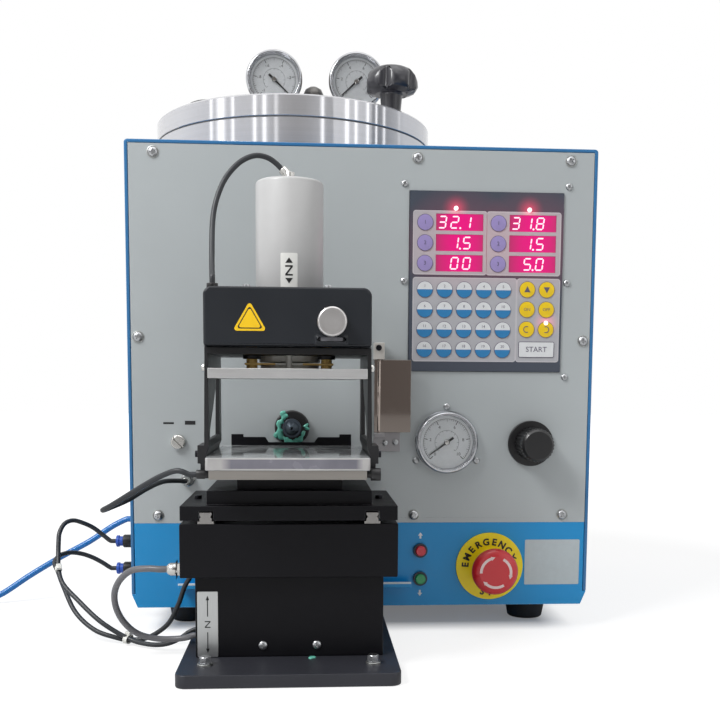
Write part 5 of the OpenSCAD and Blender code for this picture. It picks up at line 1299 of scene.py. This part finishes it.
def dial(piece, placing, figures):
    """A pale dial with ticks, figures, a second scale and a bright hub."""
    face = printed("dial_white", tone(240, 243, 245), 0.5)
    ink, faint = printed("dial_ink", tone(40, 42, 46)), printed("dial_faint_ink", tone(112, 116, 120))

    def bearing(i, steps):
        return 90 + DIAL_SWEEP / 2 - DIAL_SWEEP * i / steps

    def tick(angle, radius, length, width, high, paint):
        bar = moved(rounded(length, width), radius - length / 2, 0)
        piece.prism(moved(bar, 0, 0, angle), 3.1, high, paint, placing)
    piece.lathe([(0, 3.0), (DIAL_R, 3.0), (DIAL_R, DIAL_FACE), (0, DIAL_FACE)], face, placing, 64)
    steps = (len(figures) - 1) * 10
    for i in range(steps + 1):
        length, width = (3.4, 0.6) if i % 10 == 0 else (2.4, 0.34) if i % 5 == 0 else (1.5, 0.26)
        tick(bearing(i, steps), OUTER_SCALE_R, length, width, 3.3, ink)
    for i, text in enumerate(figures):
        spot = shifted(placing, *polar(FIGURES_R, bearing(i, len(figures) - 1)), DIAL_FACE)
        piece.words(text, 3.9, ink, spot, -0.05, 0.1)
    start, end = bearing(1, 1), bearing(0, 1)
    piece.prism(sector(20.5, 20.8, start, end, 48), 3.1, 3.28, ink, placing)
    piece.prism(sector(10.4, 10.65, start, end, 40), 3.1, 3.26, faint, placing)
    for i in range(INNER_STEPS + 1):
        tick(bearing(i, INNER_STEPS), INNER_SCALE_R, 0.9 if i % 2 else 1.6, 0.28, 3.28, faint)
    piece.lathe([(2.3, 4.7), (2.3, 5.3), (1.8, 5.7), (0, 5.8)], nickel(), placing, 24)


PRESSURE_FIGURES = ("0", "2", "4", "6", "8", "10")
LID_GAUGES = ((-81, ("-1", "-.8", "-.6", "-.4", "-.2", "0")), (-1, PRESSURE_FIGURES))
LID_GAUGE_Y, LID_GAUGE_Z, LID_GAUGE_DEPTH, CASE_SCREW_R = 132, 511.4, 24, 17
VALVE_X, VALVE_REACH = -41, 14


def relief_valve(g):
    """A mask of the valve between the lid's gauges."""
    return (g.axes()[0] - VALVE_X * MM) ** 2 < (VALVE_REACH * MM) ** 2


def build_gauges():
    for node in ("panel_gauge_pointer", "pressure_pointer", "vacuum_pointer"):
        dress(node, moulded("pointer_black", tone(20, 20, 22), 0.4, 0.04))
    for node in ("panel_gauge_lens", "lid_gauge_lenses"):
        dress(node, clear_lens("gauge_glass"))
    dress("panel_gauge", chrome(), 0.35)
    dress("lid_fittings", two_finishes(
        "gauge_cases_and_valve", relief_valve, (tone(196, 198, 202), 1.0, 0.12),
        (tone(104, 102, 100), 0.7, 0.34)), 0.4)
    piece = Piece()
    dial(piece, on_panel(GAUGE_X, GAUGE_Z), PRESSURE_FIGURES)
    piece.build("panel_gauge_dial", "cabinet", "chrome")
    piece = Piece()
    for x, figures in LID_GAUGES:
        dial(piece, on_panel(x, LID_GAUGE_Z, LID_GAUGE_Y), figures)
        back = facing((0, 1, 0), at(x, LID_GAUGE_Y + LID_GAUGE_DEPTH, LID_GAUGE_Z))
        for a in (30, 150, 270):
            spot = shifted(back, *polar(CASE_SCREW_R, a))
            piece.stamp(screw_head("cross"), steel(), spot, (2.4, 2.4, 2.6))
    piece.build("lid_gauge_dials", "lid", "chrome")


# Controls on the panel


ESTOP_X, ESTOP_Z, ESTOP_TOP, STOP_DISC_TOP = 113.2, 57.4, 32, 2
STOP_WORDS = (("EMERGENCY", 99, -1, 19.4, 21.6), ("STOP", 279, 1, 16, 23.8))
STOP_ARROWS, STOP_ARROW_R = (98, 218, 338), 12.95
BUTTON_X, RED_Z, GREEN_Z, BUTTON_ARROW_AWAY = 51.2, 71.7, 46.5, 13.2
STOP_SIDE_X, BRACKET_TAB_Z = 0.075, 0.22
LABEL_X, LABEL_Z = 170, 60.5
PANEL_DASHES = ((-168, 183.6, 1.7), (-149.6, 184, 3.4))
BRACKET_SCREWS = ((18.8, 167.2), (27.9, 167.7))
HINGE_X, HINGE_Y, HINGE_Z = 12, -14, 249


def build_controls(finishes):
    dress("switch_bodies", two_finishes(
        "stop_disc_and_bezels", past(0, STOP_SIDE_X), (tone(34, 38, 54), 0.0, 0.3),
        (finishes.stop_yellow, 0.0, 0.34)), 0.3)
    dress("estop_plunger", steel())
    dress("estop_head", moulded("stop_red", finishes.stop_red, 0.3, 0.04, 0.3), 1.2, 3)
    dress("red_button", moulded("button_red", tone(206, 20, 46), 0.28, 0.03, 0.4), 0.3)
    dress("green_button", moulded("button_green", tone(12, 150, 84), 0.28, 0.03, 0.4), 0.3)
    dress("regulator_body", black_plastic(finishes), 0.5)
    dress("regulator_knob", moulded("knob_black", finishes.moulded_black, 0.34, 0.12, 0.15), 0.3)
    dress("dose_screw", nickel(), 0.25)
    dress("nozzle_flange", black_plastic(finishes), 0.4)
    dress("nozzle_tip", plated_metal("blued_steel", tone(92, 102, 112), 0.28), 0.2)
    # Painted shade: the bracket's foot below the tab is a darker copy of its steel, for the mirror's shadow
    # on it; the tab above is the lighter copy.
    dress("mirror_bracket", two_finishes(
        "bracket_steel", past(2, BRACKET_TAB_Z), (tone(150, 148, 150), 0.6, 0.34),
        (tone(206, 202, 196), 0.3, 0.4)), 0.4)
    build_mirror()
    build_stop_print()
    build_panel_signs()


def build_stop_print():
    """Words on the emergency stop's disc and arrows on its head."""
    words = Piece()
    placing = on_panel(ESTOP_X, ESTOP_Z, -STOP_DISC_TOP)
    for word, middle, way, step, reach in STOP_WORDS:
        for i, letter in enumerate(word):
            a = middle + way * (i - (len(word) - 1) / 2) * step
            spot = Matrix.Rotation(math.radians(a), 4, "Z") @ Matrix.Translation((reach * MM, 0, 0))
            upright = Matrix.Rotation(math.radians(90 * way), 4, "Z")
            words.words(letter, 8.2, black_ink(), placing @ spot @ upright, heavy=0.32)
    words.build("stop_disc_print", "cabinet", "yellow_plastic")

    arrows = Piece()
    pale = printed("arrow_pale", tone(236, 214, 212))
    placing = on_panel(ESTOP_X, ESTOP_Z, -ESTOP_TOP)
    tip = moved([(-1.8, 0), (1.8, 0), (0, -3.4)], STOP_ARROW_R, 0)
    for a in STOP_ARROWS:
        stem = sector(STOP_ARROW_R - 1.15, STOP_ARROW_R + 1.15, a + 10, a + 84, 14)
        for form in (stem, moved(tip, 0, 0, a + 11)):
            arrows.prism(form, -0.4, 0.12, pale, placing)
    arrows.build("stop_head_arrows", "estop_head", "red_plastic")


def build_panel_signs():
    """The bare label, the buttons' arrows and two dashes near the nozzle."""
    signs = Piece()
    bare = printed("bare_label", tone(184, 194, 198), 0.5)
    signs.prism(moved(rounded(49.5, 40.6, 1), LABEL_X, LABEL_Z), -0.1, 0.25, bare, on_panel(0, 0))
    arrow = [(-0.8, -2.6), (0.8, -2.6), (0.8, 0), (2.1, 0), (0, 2.8), (-2.1, 0), (-0.8, 0)]
    for z, way in ((RED_Z + BUTTON_ARROW_AWAY, 1), (GREEN_Z - BUTTON_ARROW_AWAY, -1)):
        signs.prism([(u, v * way) for u, v in arrow], -0.05, 0.1, white_ink(), on_panel(BUTTON_X, z))
    for x, z, thick in PANEL_DASHES:
        signs.prism(rounded(9, thick), -0.05, 0.1, black_ink(), on_panel(x, z))
    signs.build("panel_signs", "cabinet", "grey_paint")


def build_mirror():
    """Silvered glass on its hinge pin."""
    def silver(g):
        rim = g.edges(0.0008) * 3
        # The silver is tinted tan, a painted reflection of the brownish room it faces; the greenish grey on
        # its edges is the glass's own.
        return g.shader(
            Base_Color=g.mix(rim, tone(176, 164, 156), tone(120, 128, 128)), Metallic=1.0,
            Roughness=0.03 + 0.1 * (g.noise(40, 4) ** 3))
    dress("side_mirror", finish("mirror_glass", silver), 0.2)
    piece = Piece()
    for i, (x, z) in enumerate(BRACKET_SCREWS):
        piece.stamp(screw_head("cross"), steel(), on_panel(x, z, -2, 25 * i), (2.6, 2.6, 2.8))
    hinge = on_panel(HINGE_X, HINGE_Z, HINGE_Y, 10)
    piece.stamp(screw_head("socket"), blackened(), hinge, (2.5, 2.5, 1.2))
    piece.build("mirror_bracket_screws", "cabinet", "steel")


# Wax


NOZZLE_Z, FLANGE_FACE = 180.2, -6
WAX_RIBBONS = (
    (11.2, 108, 168, 4.6, 1.3), (11.6, 150, 236, 5.2, 1.5), (12, 220, 292, 4.8, 1.3),
    (11.4, 276, 346, 4.2, 1.2), (12.4, 352, 376, 4.2, 1.1))
WAX_DROPS = ((-8, 12.4, 2.4, 1.2), (-13.2, -6, 2.6, 1.4), (-1, -14.6, 2.6, 1.4), (5, -12.6, 2.2, 1.1))
WAX_RUNS = ((-13.6, -6.4, 1.7), (-1.4, -15.1, 2.0), (3.6, -14.7, 1.5))
RUN_STEPS = ((0.94, -6.4), (1.02, -4.5), (1.04, -2), (1.08, 0.2))
FALLEN_X, FALLEN_Y = -45.2, -117.8
DROP_LEVELS = ((1.0, 0.0), (1.0, 0.25), (0.93, 0.6), (0.75, 0.85), (0.45, 0.97), (0.15, 1.0))


def wax_skin(finishes):
    """Set wax: lumpy and slightly shiny."""
    def build(g):
        lumps = g.noise(240, 4)
        return g.shader(
            Base_Color=g.mottle(lumps, finishes.wax_teal, 0.75, 1.2), Roughness=0.36 + 0.2 * (lumps - 0.5),
            Coat_Weight=0.25, Normal=g.bump(lumps, 0.3, 0.0006))
    return finish("wax_skin", build)


def wax_drop(piece, placing, radius, height, paint, waves, n=30):
    """A low drop of wax with an uneven rim; waves are (count, share, phase)."""
    points = []
    for share, lift in DROP_LEVELS:
        for i in range(n):
            a = 2 * math.pi * i / n
            r = radius * share * (1 + sum(s * math.sin(c * a + p) for c, s, p in waves))
            points.append((r * math.cos(a), r * math.sin(a), lift * height))
    piece.faces(points, stack(len(DROP_LEVELS), n), paint, placing)


def wax_ribbon(piece, placing, radius, a0, a1, width, height, paint, seed, n=26):
    """A low run of wax along an arc, uneven in width, with rounded ends."""
    points, rows, m = [], [], 7
    for i in range(n + 1):
        t = i / n
        a = math.radians(a0 + (a1 - a0) * t)
        ends = math.sin(math.pi * min(max(t, 0.02), 0.98)) ** 0.35
        half = width / 2 * ends * (1 + 0.28 * math.sin(9 * t + seed) + 0.16 * math.sin(21 * t + 2 * seed))
        middle = radius + 0.8 * math.sin(7 * t + seed)
        for k in range(m):
            u = -1 + 2 * k / (m - 1)
            r = middle + u * half
            points.append((r * math.cos(a), r * math.sin(a), height * ends * (1 - u * u) ** 0.5))
    for i in range(n):
        for k in range(m - 1):
            a, b = i * m + k, (i + 1) * m + k
            rows.append([a, b, b + 1, a + 1])
        rows.append([i * m, i * m + m - 1, (i + 1) * m + m - 1, (i + 1) * m])
    rows += [list(range(m)), list(range(n * m, n * m + m))[::-1]]
    piece.faces(points, rows, paint, placing)


def build_wax(finishes):
    paint = wax_skin(finishes)
    piece = Piece()
    flange = on_panel(AXIS_X, NOZZLE_Z, FLANGE_FACE)
    for i, ribbon in enumerate(WAX_RIBBONS):
        wax_ribbon(piece, flange, *ribbon, paint, 1.7 * i)
    for i, (x, z, r, h) in enumerate(WAX_DROPS):
        spot = on_panel(AXIS_X + x, NOZZLE_Z + z, FLANGE_FACE + 0.1, 40 * i)
        wax_drop(piece, spot, r, h, paint, ((2, 0.16, i), (3, 0.1, 2 * i)))
    for x, z, r in WAX_RUNS:
        run = [at(AXIS_X + x * k, y, NOZZLE_Z + z * k) for k, y in RUN_STEPS]
        piece.tube(run, 2 * r * MM, paint, 12)
    spot = on_top(FALLEN_X, FALLEN_Y, BASE_T)
    wax_drop(piece, spot, 2.6, 1.4, paint, ((2, 0.2, 0.4), (3, 0.1, 1.0)))
    piece.build("wax_residue", "cabinet", "black_plastic", sharp=60)


# Lid


POT_Y = 147
CAP_PROFILE = [(8.6, -1), (8.6, 0.1), (7.9, 0.5), (0, 0.7)]


def build_lid(finishes):
    axis = at(AXIS_X, POT_Y, 0)
    lo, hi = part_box("wax_pot")
    seam = (hi.z - 0.0002, (hi.x - lo.x) / 2 - 0.0012)
    metal = turned_metal("turned_aluminium", tone(208, 208, 211), 0.07, axis, 2, 0.012, 0.6, seam)
    dress("pot_lid", metal)
    dress("wax_pot", metal)
    dress("lid_seal", moulded("seal_silicone", tone(52, 46, 44), 0.5, 0.05))
    knob = moulded("star_knob", tone(40, 40, 46), 0.32, 0.14, 0.3)
    for body in ("lid_knob_front", "lid_knob_rear"):
        dress(body, knob, 1.4, 3)
        lo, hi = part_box(body)
        cap = Piece()
        spot = Vector(((lo.x + hi.x) / 2, (lo.y + hi.y) / 2, hi.z))
        cap.lathe(CAP_PROFILE, black_plastic(finishes), facing((0, 0, 1), spot))
        cap.build(body + "_cap", body, "black_plastic")


# Clamp


CYLINDER_Y, CYLINDER_R, CYLINDER_SIGN_Z = -99, 25.3, 299.8
NOSE_R, PINS_FROM_R, PINS_FROM_X = 0.0235, 0.0222, 0.01
HEAD_FRONT, HEAD_TOP, BRIDGE_Z, TOP_FITTINGS_Z = -166, 284, 238.5, 0.31
TRAY_TOP = 127.5
TOWER_SIGN_X, TOWER_SIGN_Z, TOWER_SIGN_W, TOWER_SIGN_H = -124.2, 35.8, 15.5, 50.5
TRIANGLE_X, TRIANGLE_Z, TRIANGLE_REACH, TRIANGLE_CORNER = -88, 260.6, 13.4, 1.6
HEAD_SCREWS_X, HEAD_SCREWS_Y, HEAD_TAB_Z = (-90.6, -34.2), -158, 248.6
TRAY_SCREWS_X, TRAY_SCREWS_Y = (-134.8, 8.3), -75
POST_X, POST_SCREWS_Y, POST_SCREWS_Z = 64, (-146, -126), 168
DOME_X, DOME_Y, DOME_Z = 58.7, -147, 229


def from_cylinder(g):
    """The square of a point's distance from the air cylinder's axis."""
    x, y, _ = g.axes()
    centre = at(AXIS_X, CYLINDER_Y, 0)
    return (x - centre.x) ** 2 + (y - centre.y) ** 2


def cylinder_nose(g):
    """A mask of the air cylinder's nose under the bridge."""
    z, bridge = g.axes()[2], BRIDGE_Z * MM
    return (from_cylinder(g) < NOSE_R ** 2) * (z < bridge - 0.0001) * (z > bridge - 0.0055)


def guide_pins(g):
    """A mask of the two pins beside the press rod."""
    sideways = (g.axes()[0] - AXIS_X * MM) ** 2
    return (from_cylinder(g) > PINS_FROM_R ** 2) * (sideways > PINS_FROM_X ** 2)


def build_clamp(finishes):
    coat = powder_coat("clamp_coat", finishes.clamp_black, tone(128, 128, 132), 0.16)
    # Painted light: the base and the head get lighter copies of the clamp's black, standing in for the sheen
    # on the base's top and the bluish reflection on the head.
    dress("clamp_base", powder_coat("base_coat", tone(48, 49, 55), tone(130, 126, 120)), 0.8)
    dress("head_cover", powder_coat("head_coat", tone(31, 34, 39), tone(112, 116, 122)), 2.0, 3)
    for node, bevel in (("tower_cover", 0.9), ("lift_skirt", 0.9), ("carriage", 0.45), ("rear_fence", 0.4)):
        dress(node, coat, bevel)
    dress("press_frame", two_finishes(
        "frame_and_nose", cylinder_nose, (finishes.clamp_black, 0.0, 0.42),
        (tone(238, 236, 228), 0.1, 0.4)), 0.4)
    dress("clamp_plate", brushed_metal("plate_aluminium", tone(206, 206, 206), 0.38, (0.02, 1, 1)), 0.4)
    dress("mould_bed", brushed_metal("bed_aluminium", tone(158, 154, 149), 0.36, (0.02, 1, 1)), 0.4)
    dress("acrylic_plate", clear_acrylic("clear_acrylic"), 0.5)
    dress("press_cylinder", moulded("satin_anodised", tone(192, 192, 192), 0.44, 0.04, 0.15), 0.8)
    dress("slide_rails", brushed_metal("rail_steel", tone(150, 148, 146), 0.36, (1, 0.03, 1)), 0.15)
    dress("slide_blocks", brushed_metal("block_steel", tone(140, 142, 146), 0.36, (1, 0.03, 1)), 0.3)
    dress("lift_rods", chrome())
    dress("lift_cylinder", brushed_metal("lift_aluminium", tone(176, 178, 180), 0.4, (1, 1, 0.04)), 0.5)
    dress("press_rods", two_finishes(
        "rod_and_guide_pins", guide_pins, (tone(238, 236, 228), 0.1, 0.4),
        (tone(238, 198, 118), 0.2, 0.36)), 0.2)
    lo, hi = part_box("head_knob")
    dress("head_knob", turned_metal("turned_knob", tone(206, 204, 203), 0.3, (lo + hi) / 2, 1, 1.0), 0.3)
    dress("press_fittings", two_finishes(
        "side_and_top_fittings", past(2, TOP_FITTINGS_Z), (finishes.moulded_black, 0.0, 0.36),
        (tone(205, 204, 200), 1.0, 0.2)), 0.25)
    build_clamp_details()


def letter_z(half_w, half_h, weight):
    """The strokes of a plain letter Z."""
    w, h, t = half_w, half_h, 2 * half_h * weight * 0.6
    return [[(-w, h), (w, h), (w, h - t), (-w, h - t)], [(-w, -h), (w, -h), (w, t - h), (-w, t - h)],
            [(-w, t - h), (t * 1.3 - w, t - h), (w, h - t), (w - t * 1.3, h - t)]]


def up_down_z(piece, placing, w, h, ink):
    """An axis sign: the letter Z between two arrows."""
    for bar in letter_z(w * 0.14, w * 0.17, 0.26):
        piece.prism(bar, 0.3, 0.55, ink, placing)
    for way in (-1, 1):
        stem = moved(rounded(w * 0.05, h * 0.28), 0, way * h * 0.26)
        head = [(-w * 0.09, way * h * 0.37), (w * 0.09, way * h * 0.37), (0, way * h * 0.44)]
        piece.prism(stem, 0.3, 0.55, ink, placing)
        piece.prism(head, 0.3, 0.55, ink, placing)


def soft_triangle(reach, corner):
    """An upright triangle with round corners; reach goes from its middle to where two sides would meet."""
    out = []
    for middle in (-30, 90, 210):
        x, y = polar(reach - 2 * corner, middle)
        out += moved(arc(corner, middle - 60, middle + 60, 6), x, y)
    return out


def build_clamp_details():
    """Signs on the tower and the head, and the small screws of the head and the carriage."""
    ink = black_ink()
    tower = Piece()
    plate = brushed_metal("sign_plate", tone(196, 198, 198), 0.36, (1, 1, 0.03))
    placing = on_panel(TOWER_SIGN_X, TOWER_SIGN_Z, TOWER_FRONT)
    tower.prism(rounded(TOWER_SIGN_W, TOWER_SIGN_H, 0.8), -0.1, 0.45, plate, placing)
    up_down_z(tower, placing, TOWER_SIGN_W, TOWER_SIGN_H, ink)
    tower.build("tower_sign", "cabinet", "black_paint")

    head = Piece()
    yellow = printed("sign_yellow", tone(246, 200, 16), 0.45)
    placing = on_panel(TRIANGLE_X, TRIANGLE_Z, HEAD_FRONT)
    for size, lift, paint in ((1.0, 0.2, yellow), (0.78, 0.32, ink), (0.68, 0.44, yellow)):
        head.prism(soft_triangle(TRIANGLE_REACH * size, TRIANGLE_CORNER * size), -0.1, lift, paint, placing)
    for x in HEAD_SCREWS_X:
        spot = on_top(x, HEAD_SCREWS_Y, HEAD_TOP, 10)
        head.stamp(screw_head("socket"), steel(), spot, (2.6, 2.6, 2))
    lo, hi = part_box("head_knob")
    knob_x, knob_z = (lo.x + hi.x) / 2 / MM, (lo.z + hi.z) / 2 / MM
    ring = on_panel(knob_x, knob_z, HEAD_FRONT)
    head.lathe([(6.4, 0), (6.4, 0.5), (5.8, 0.8), (3.3, 0.8)], steel(), ring, 32)
    tab = printed("tab_grey", tone(104, 104, 110), 0.5)
    head.prism(rounded(15.2, 2.6, 0.4), -0.2, 0.3, tab, on_panel(knob_x, HEAD_TAB_Z, HEAD_FRONT - 0.8))
    build_cylinder_sign(head, ink)
    head.build("press_head_signs_and_screws", "carriage", "black_paint")

    tray = Piece()
    for x in TRAY_SCREWS_X:
        spot = on_top(x, TRAY_SCREWS_Y, TRAY_TOP, 12)
        tray.stamp(screw_head("socket"), blackened(), spot, (3, 3, 2.6))
    for s in (-1, 1):
        for y in POST_SCREWS_Y:
            spot = facing((s, 0, 0), at(AXIS_X + s * POST_X, y, POST_SCREWS_Z))
            tray.stamp(screw_head("socket"), blackened(), spot, (2.4, 2.4, 2.2))
        dome = facing((s, 0, 0), at(AXIS_X + s * DOME_X, DOME_Y, DOME_Z))
        tray.lathe([(3, 0), (3, 0.8), (2.6, 1.8), (1.5, 2.4), (0, 2.6)], nickel(), dome, 24)
    tray.build("carriage_screws", "carriage", "steel")


def build_cylinder_sign(piece, ink):
    """A small white label that follows the air cylinder's curve."""
    paper = printed("label_white", tone(236, 236, 232), 0.5)

    def curved(outline, low, high, paint):
        flat = bmesh.new()
        flat.faces.new([flat.verts.new((x, y, 0)) for x, y in outline])
        for u in range(-6, 7):
            whole = flat.verts[:] + flat.edges[:] + flat.faces[:]
            bmesh.ops.bisect_plane(flat, geom=whole, plane_co=(u, 0, 0), plane_no=(1, 0, 0))
        points, rows = [], []
        flat.verts.index_update()
        n = len(flat.verts)
        for r in (CYLINDER_R + low, CYLINDER_R + high):
            for v in flat.verts:
                x, y = r * math.sin(v.co.x / CYLINDER_R), r * math.cos(v.co.x / CYLINDER_R)
                points.append(at(AXIS_X + x, CYLINDER_Y - y, CYLINDER_SIGN_Z + v.co.y))
        for f in flat.faces:
            ids = [v.index for v in f.verts]
            rows += [ids, [i + n for i in ids][::-1]]
        for e in flat.edges:
            if len(e.link_faces) == 1:
                a, b = (v.index for v in e.verts)
                rows.append([a, b, b + n, a + n])
        flat.free()
        piece.faces(points, rows, paint)
    curved(rounded(12.4, 25, 0.8), -0.2, 0.15, paper)
    for bar in letter_z(2.7, 3.7, 0.26):
        curved(bar, 0.1, 0.3, ink)
    for way in (-1, 1):
        curved([(-2.7, way * 5.4), (2.7, way * 5.4), (0, way * 9.2)], 0.1, 0.3, ink)


class WAX_OT_stage(bpy.types.Operator):
    """Sets up the floor, the lamps, the world and the camera"""
    bl_idname = "wax.stage"
    bl_label = "Stage and camera"

    def execute(self, context):
        build_camera(context.scene.wax_studio)
        build_stage(context.scene.wax_studio)
        return {"FINISHED"}


class WAX_OT_hoses(bpy.types.Operator):
    """Lays the air hoses, the cables and the coiled supply hose with its coupler and ties"""
    bl_idname = "wax.hoses"
    bl_label = "Hoses and cables"

    def execute(self, context):
        build_hoses(context.scene.wax_hoses, context.scene.wax_finish)
        return {"FINISHED"}


class WAX_OT_fittings(bpy.types.Operator):
    """Adds the push-in fittings, the connector and the cable gland"""
    bl_idname = "wax.fittings"
    bl_label = "Fittings"

    def execute(self, context):
        build_fittings(context.scene.wax_finish)
        return {"FINISHED"}


class WAX_OT_cabinet(bpy.types.Operator):
    """Paints the cabinet and sets its screws and bolts"""
    bl_idname = "wax.cabinet"
    bl_label = "Cabinet"

    def execute(self, context):
        build_cabinet(context.scene.wax_finish)
        return {"FINISHED"}


class WAX_OT_controller(bpy.types.Operator):
    """Prints the controller's face and lights its windows"""
    bl_idname = "wax.controller"
    bl_label = "Controller"

    def execute(self, context):
        build_controller(context.scene.wax_finish)
        return {"FINISHED"}


class WAX_OT_gauges(bpy.types.Operator):
    """Finishes the three gauges and draws their dials"""
    bl_idname = "wax.gauges"
    bl_label = "Gauges"

    def execute(self, context):
        build_gauges()
        return {"FINISHED"}


class WAX_OT_controls(bpy.types.Operator):
    """Finishes the knobs, buttons, nozzle and mirror on the panel and prints their signs"""
    bl_idname = "wax.controls"
    bl_label = "Panel controls"

    def execute(self, context):
        build_controls(context.scene.wax_finish)
        return {"FINISHED"}


class WAX_OT_wax(bpy.types.Operator):
    """Leaves set wax round the nozzle and a drop on the base plate"""
    bl_idname = "wax.residue"
    bl_label = "Wax residue"

    def execute(self, context):
        build_wax(context.scene.wax_finish)
        return {"FINISHED"}


class WAX_OT_lid(bpy.types.Operator):
    """Finishes the pot, its lid and the hand knobs"""
    bl_idname = "wax.lid"
    bl_label = "Pot and lid"

    def execute(self, context):
        build_lid(context.scene.wax_finish)
        return {"FINISHED"}


class WAX_OT_clamp(bpy.types.Operator):
    """Finishes the clamp and adds its signs and small screws"""
    bl_idname = "wax.clamp"
    bl_label = "Clamp"

    def execute(self, context):
        build_clamp(context.scene.wax_finish)
        return {"FINISHED"}


OPERATORS = (
    WAX_OT_stage, WAX_OT_hoses, WAX_OT_fittings, WAX_OT_cabinet, WAX_OT_controller, WAX_OT_gauges,
    WAX_OT_controls, WAX_OT_wax, WAX_OT_lid, WAX_OT_clamp)


class WAX_PT_injector(bpy.types.Panel):
    """Lists the steps that dress the injector"""
    bl_idname = "WAX_PT_injector"
    bl_label = "Vacuum wax injector"
    bl_space_type = "VIEW_3D"
    bl_region_type = "UI"
    bl_category = "Wax injector"

    def draw(self, context):
        for group in (context.scene.wax_finish, context.scene.wax_hoses, context.scene.wax_studio):
            for name in group.__annotations__:
                self.layout.prop(group, name)
        for operator in OPERATORS:
            self.layout.operator(operator.bl_idname)


CLASSES = (InjectorFinish, InjectorHoses, InjectorStudio) + OPERATORS + (WAX_PT_injector,)


def register():
    for cls in CLASSES:
        bpy.utils.register_class(cls)
    bpy.types.Scene.wax_finish = bpy.props.PointerProperty(type=InjectorFinish)
    bpy.types.Scene.wax_hoses = bpy.props.PointerProperty(type=InjectorHoses)
    bpy.types.Scene.wax_studio = bpy.props.PointerProperty(type=InjectorStudio)


def unregister():
    del bpy.types.Scene.wax_finish, bpy.types.Scene.wax_hoses, bpy.types.Scene.wax_studio
    for cls in reversed(CLASSES):
        bpy.utils.unregister_class(cls)


def main():
    register()
    for operator in OPERATORS:
        group, name = operator.bl_idname.split(".")
        getattr(getattr(bpy.ops, group), name)()
    bpy.context.view_layer.update()


if __name__ == "__main__":
    main()
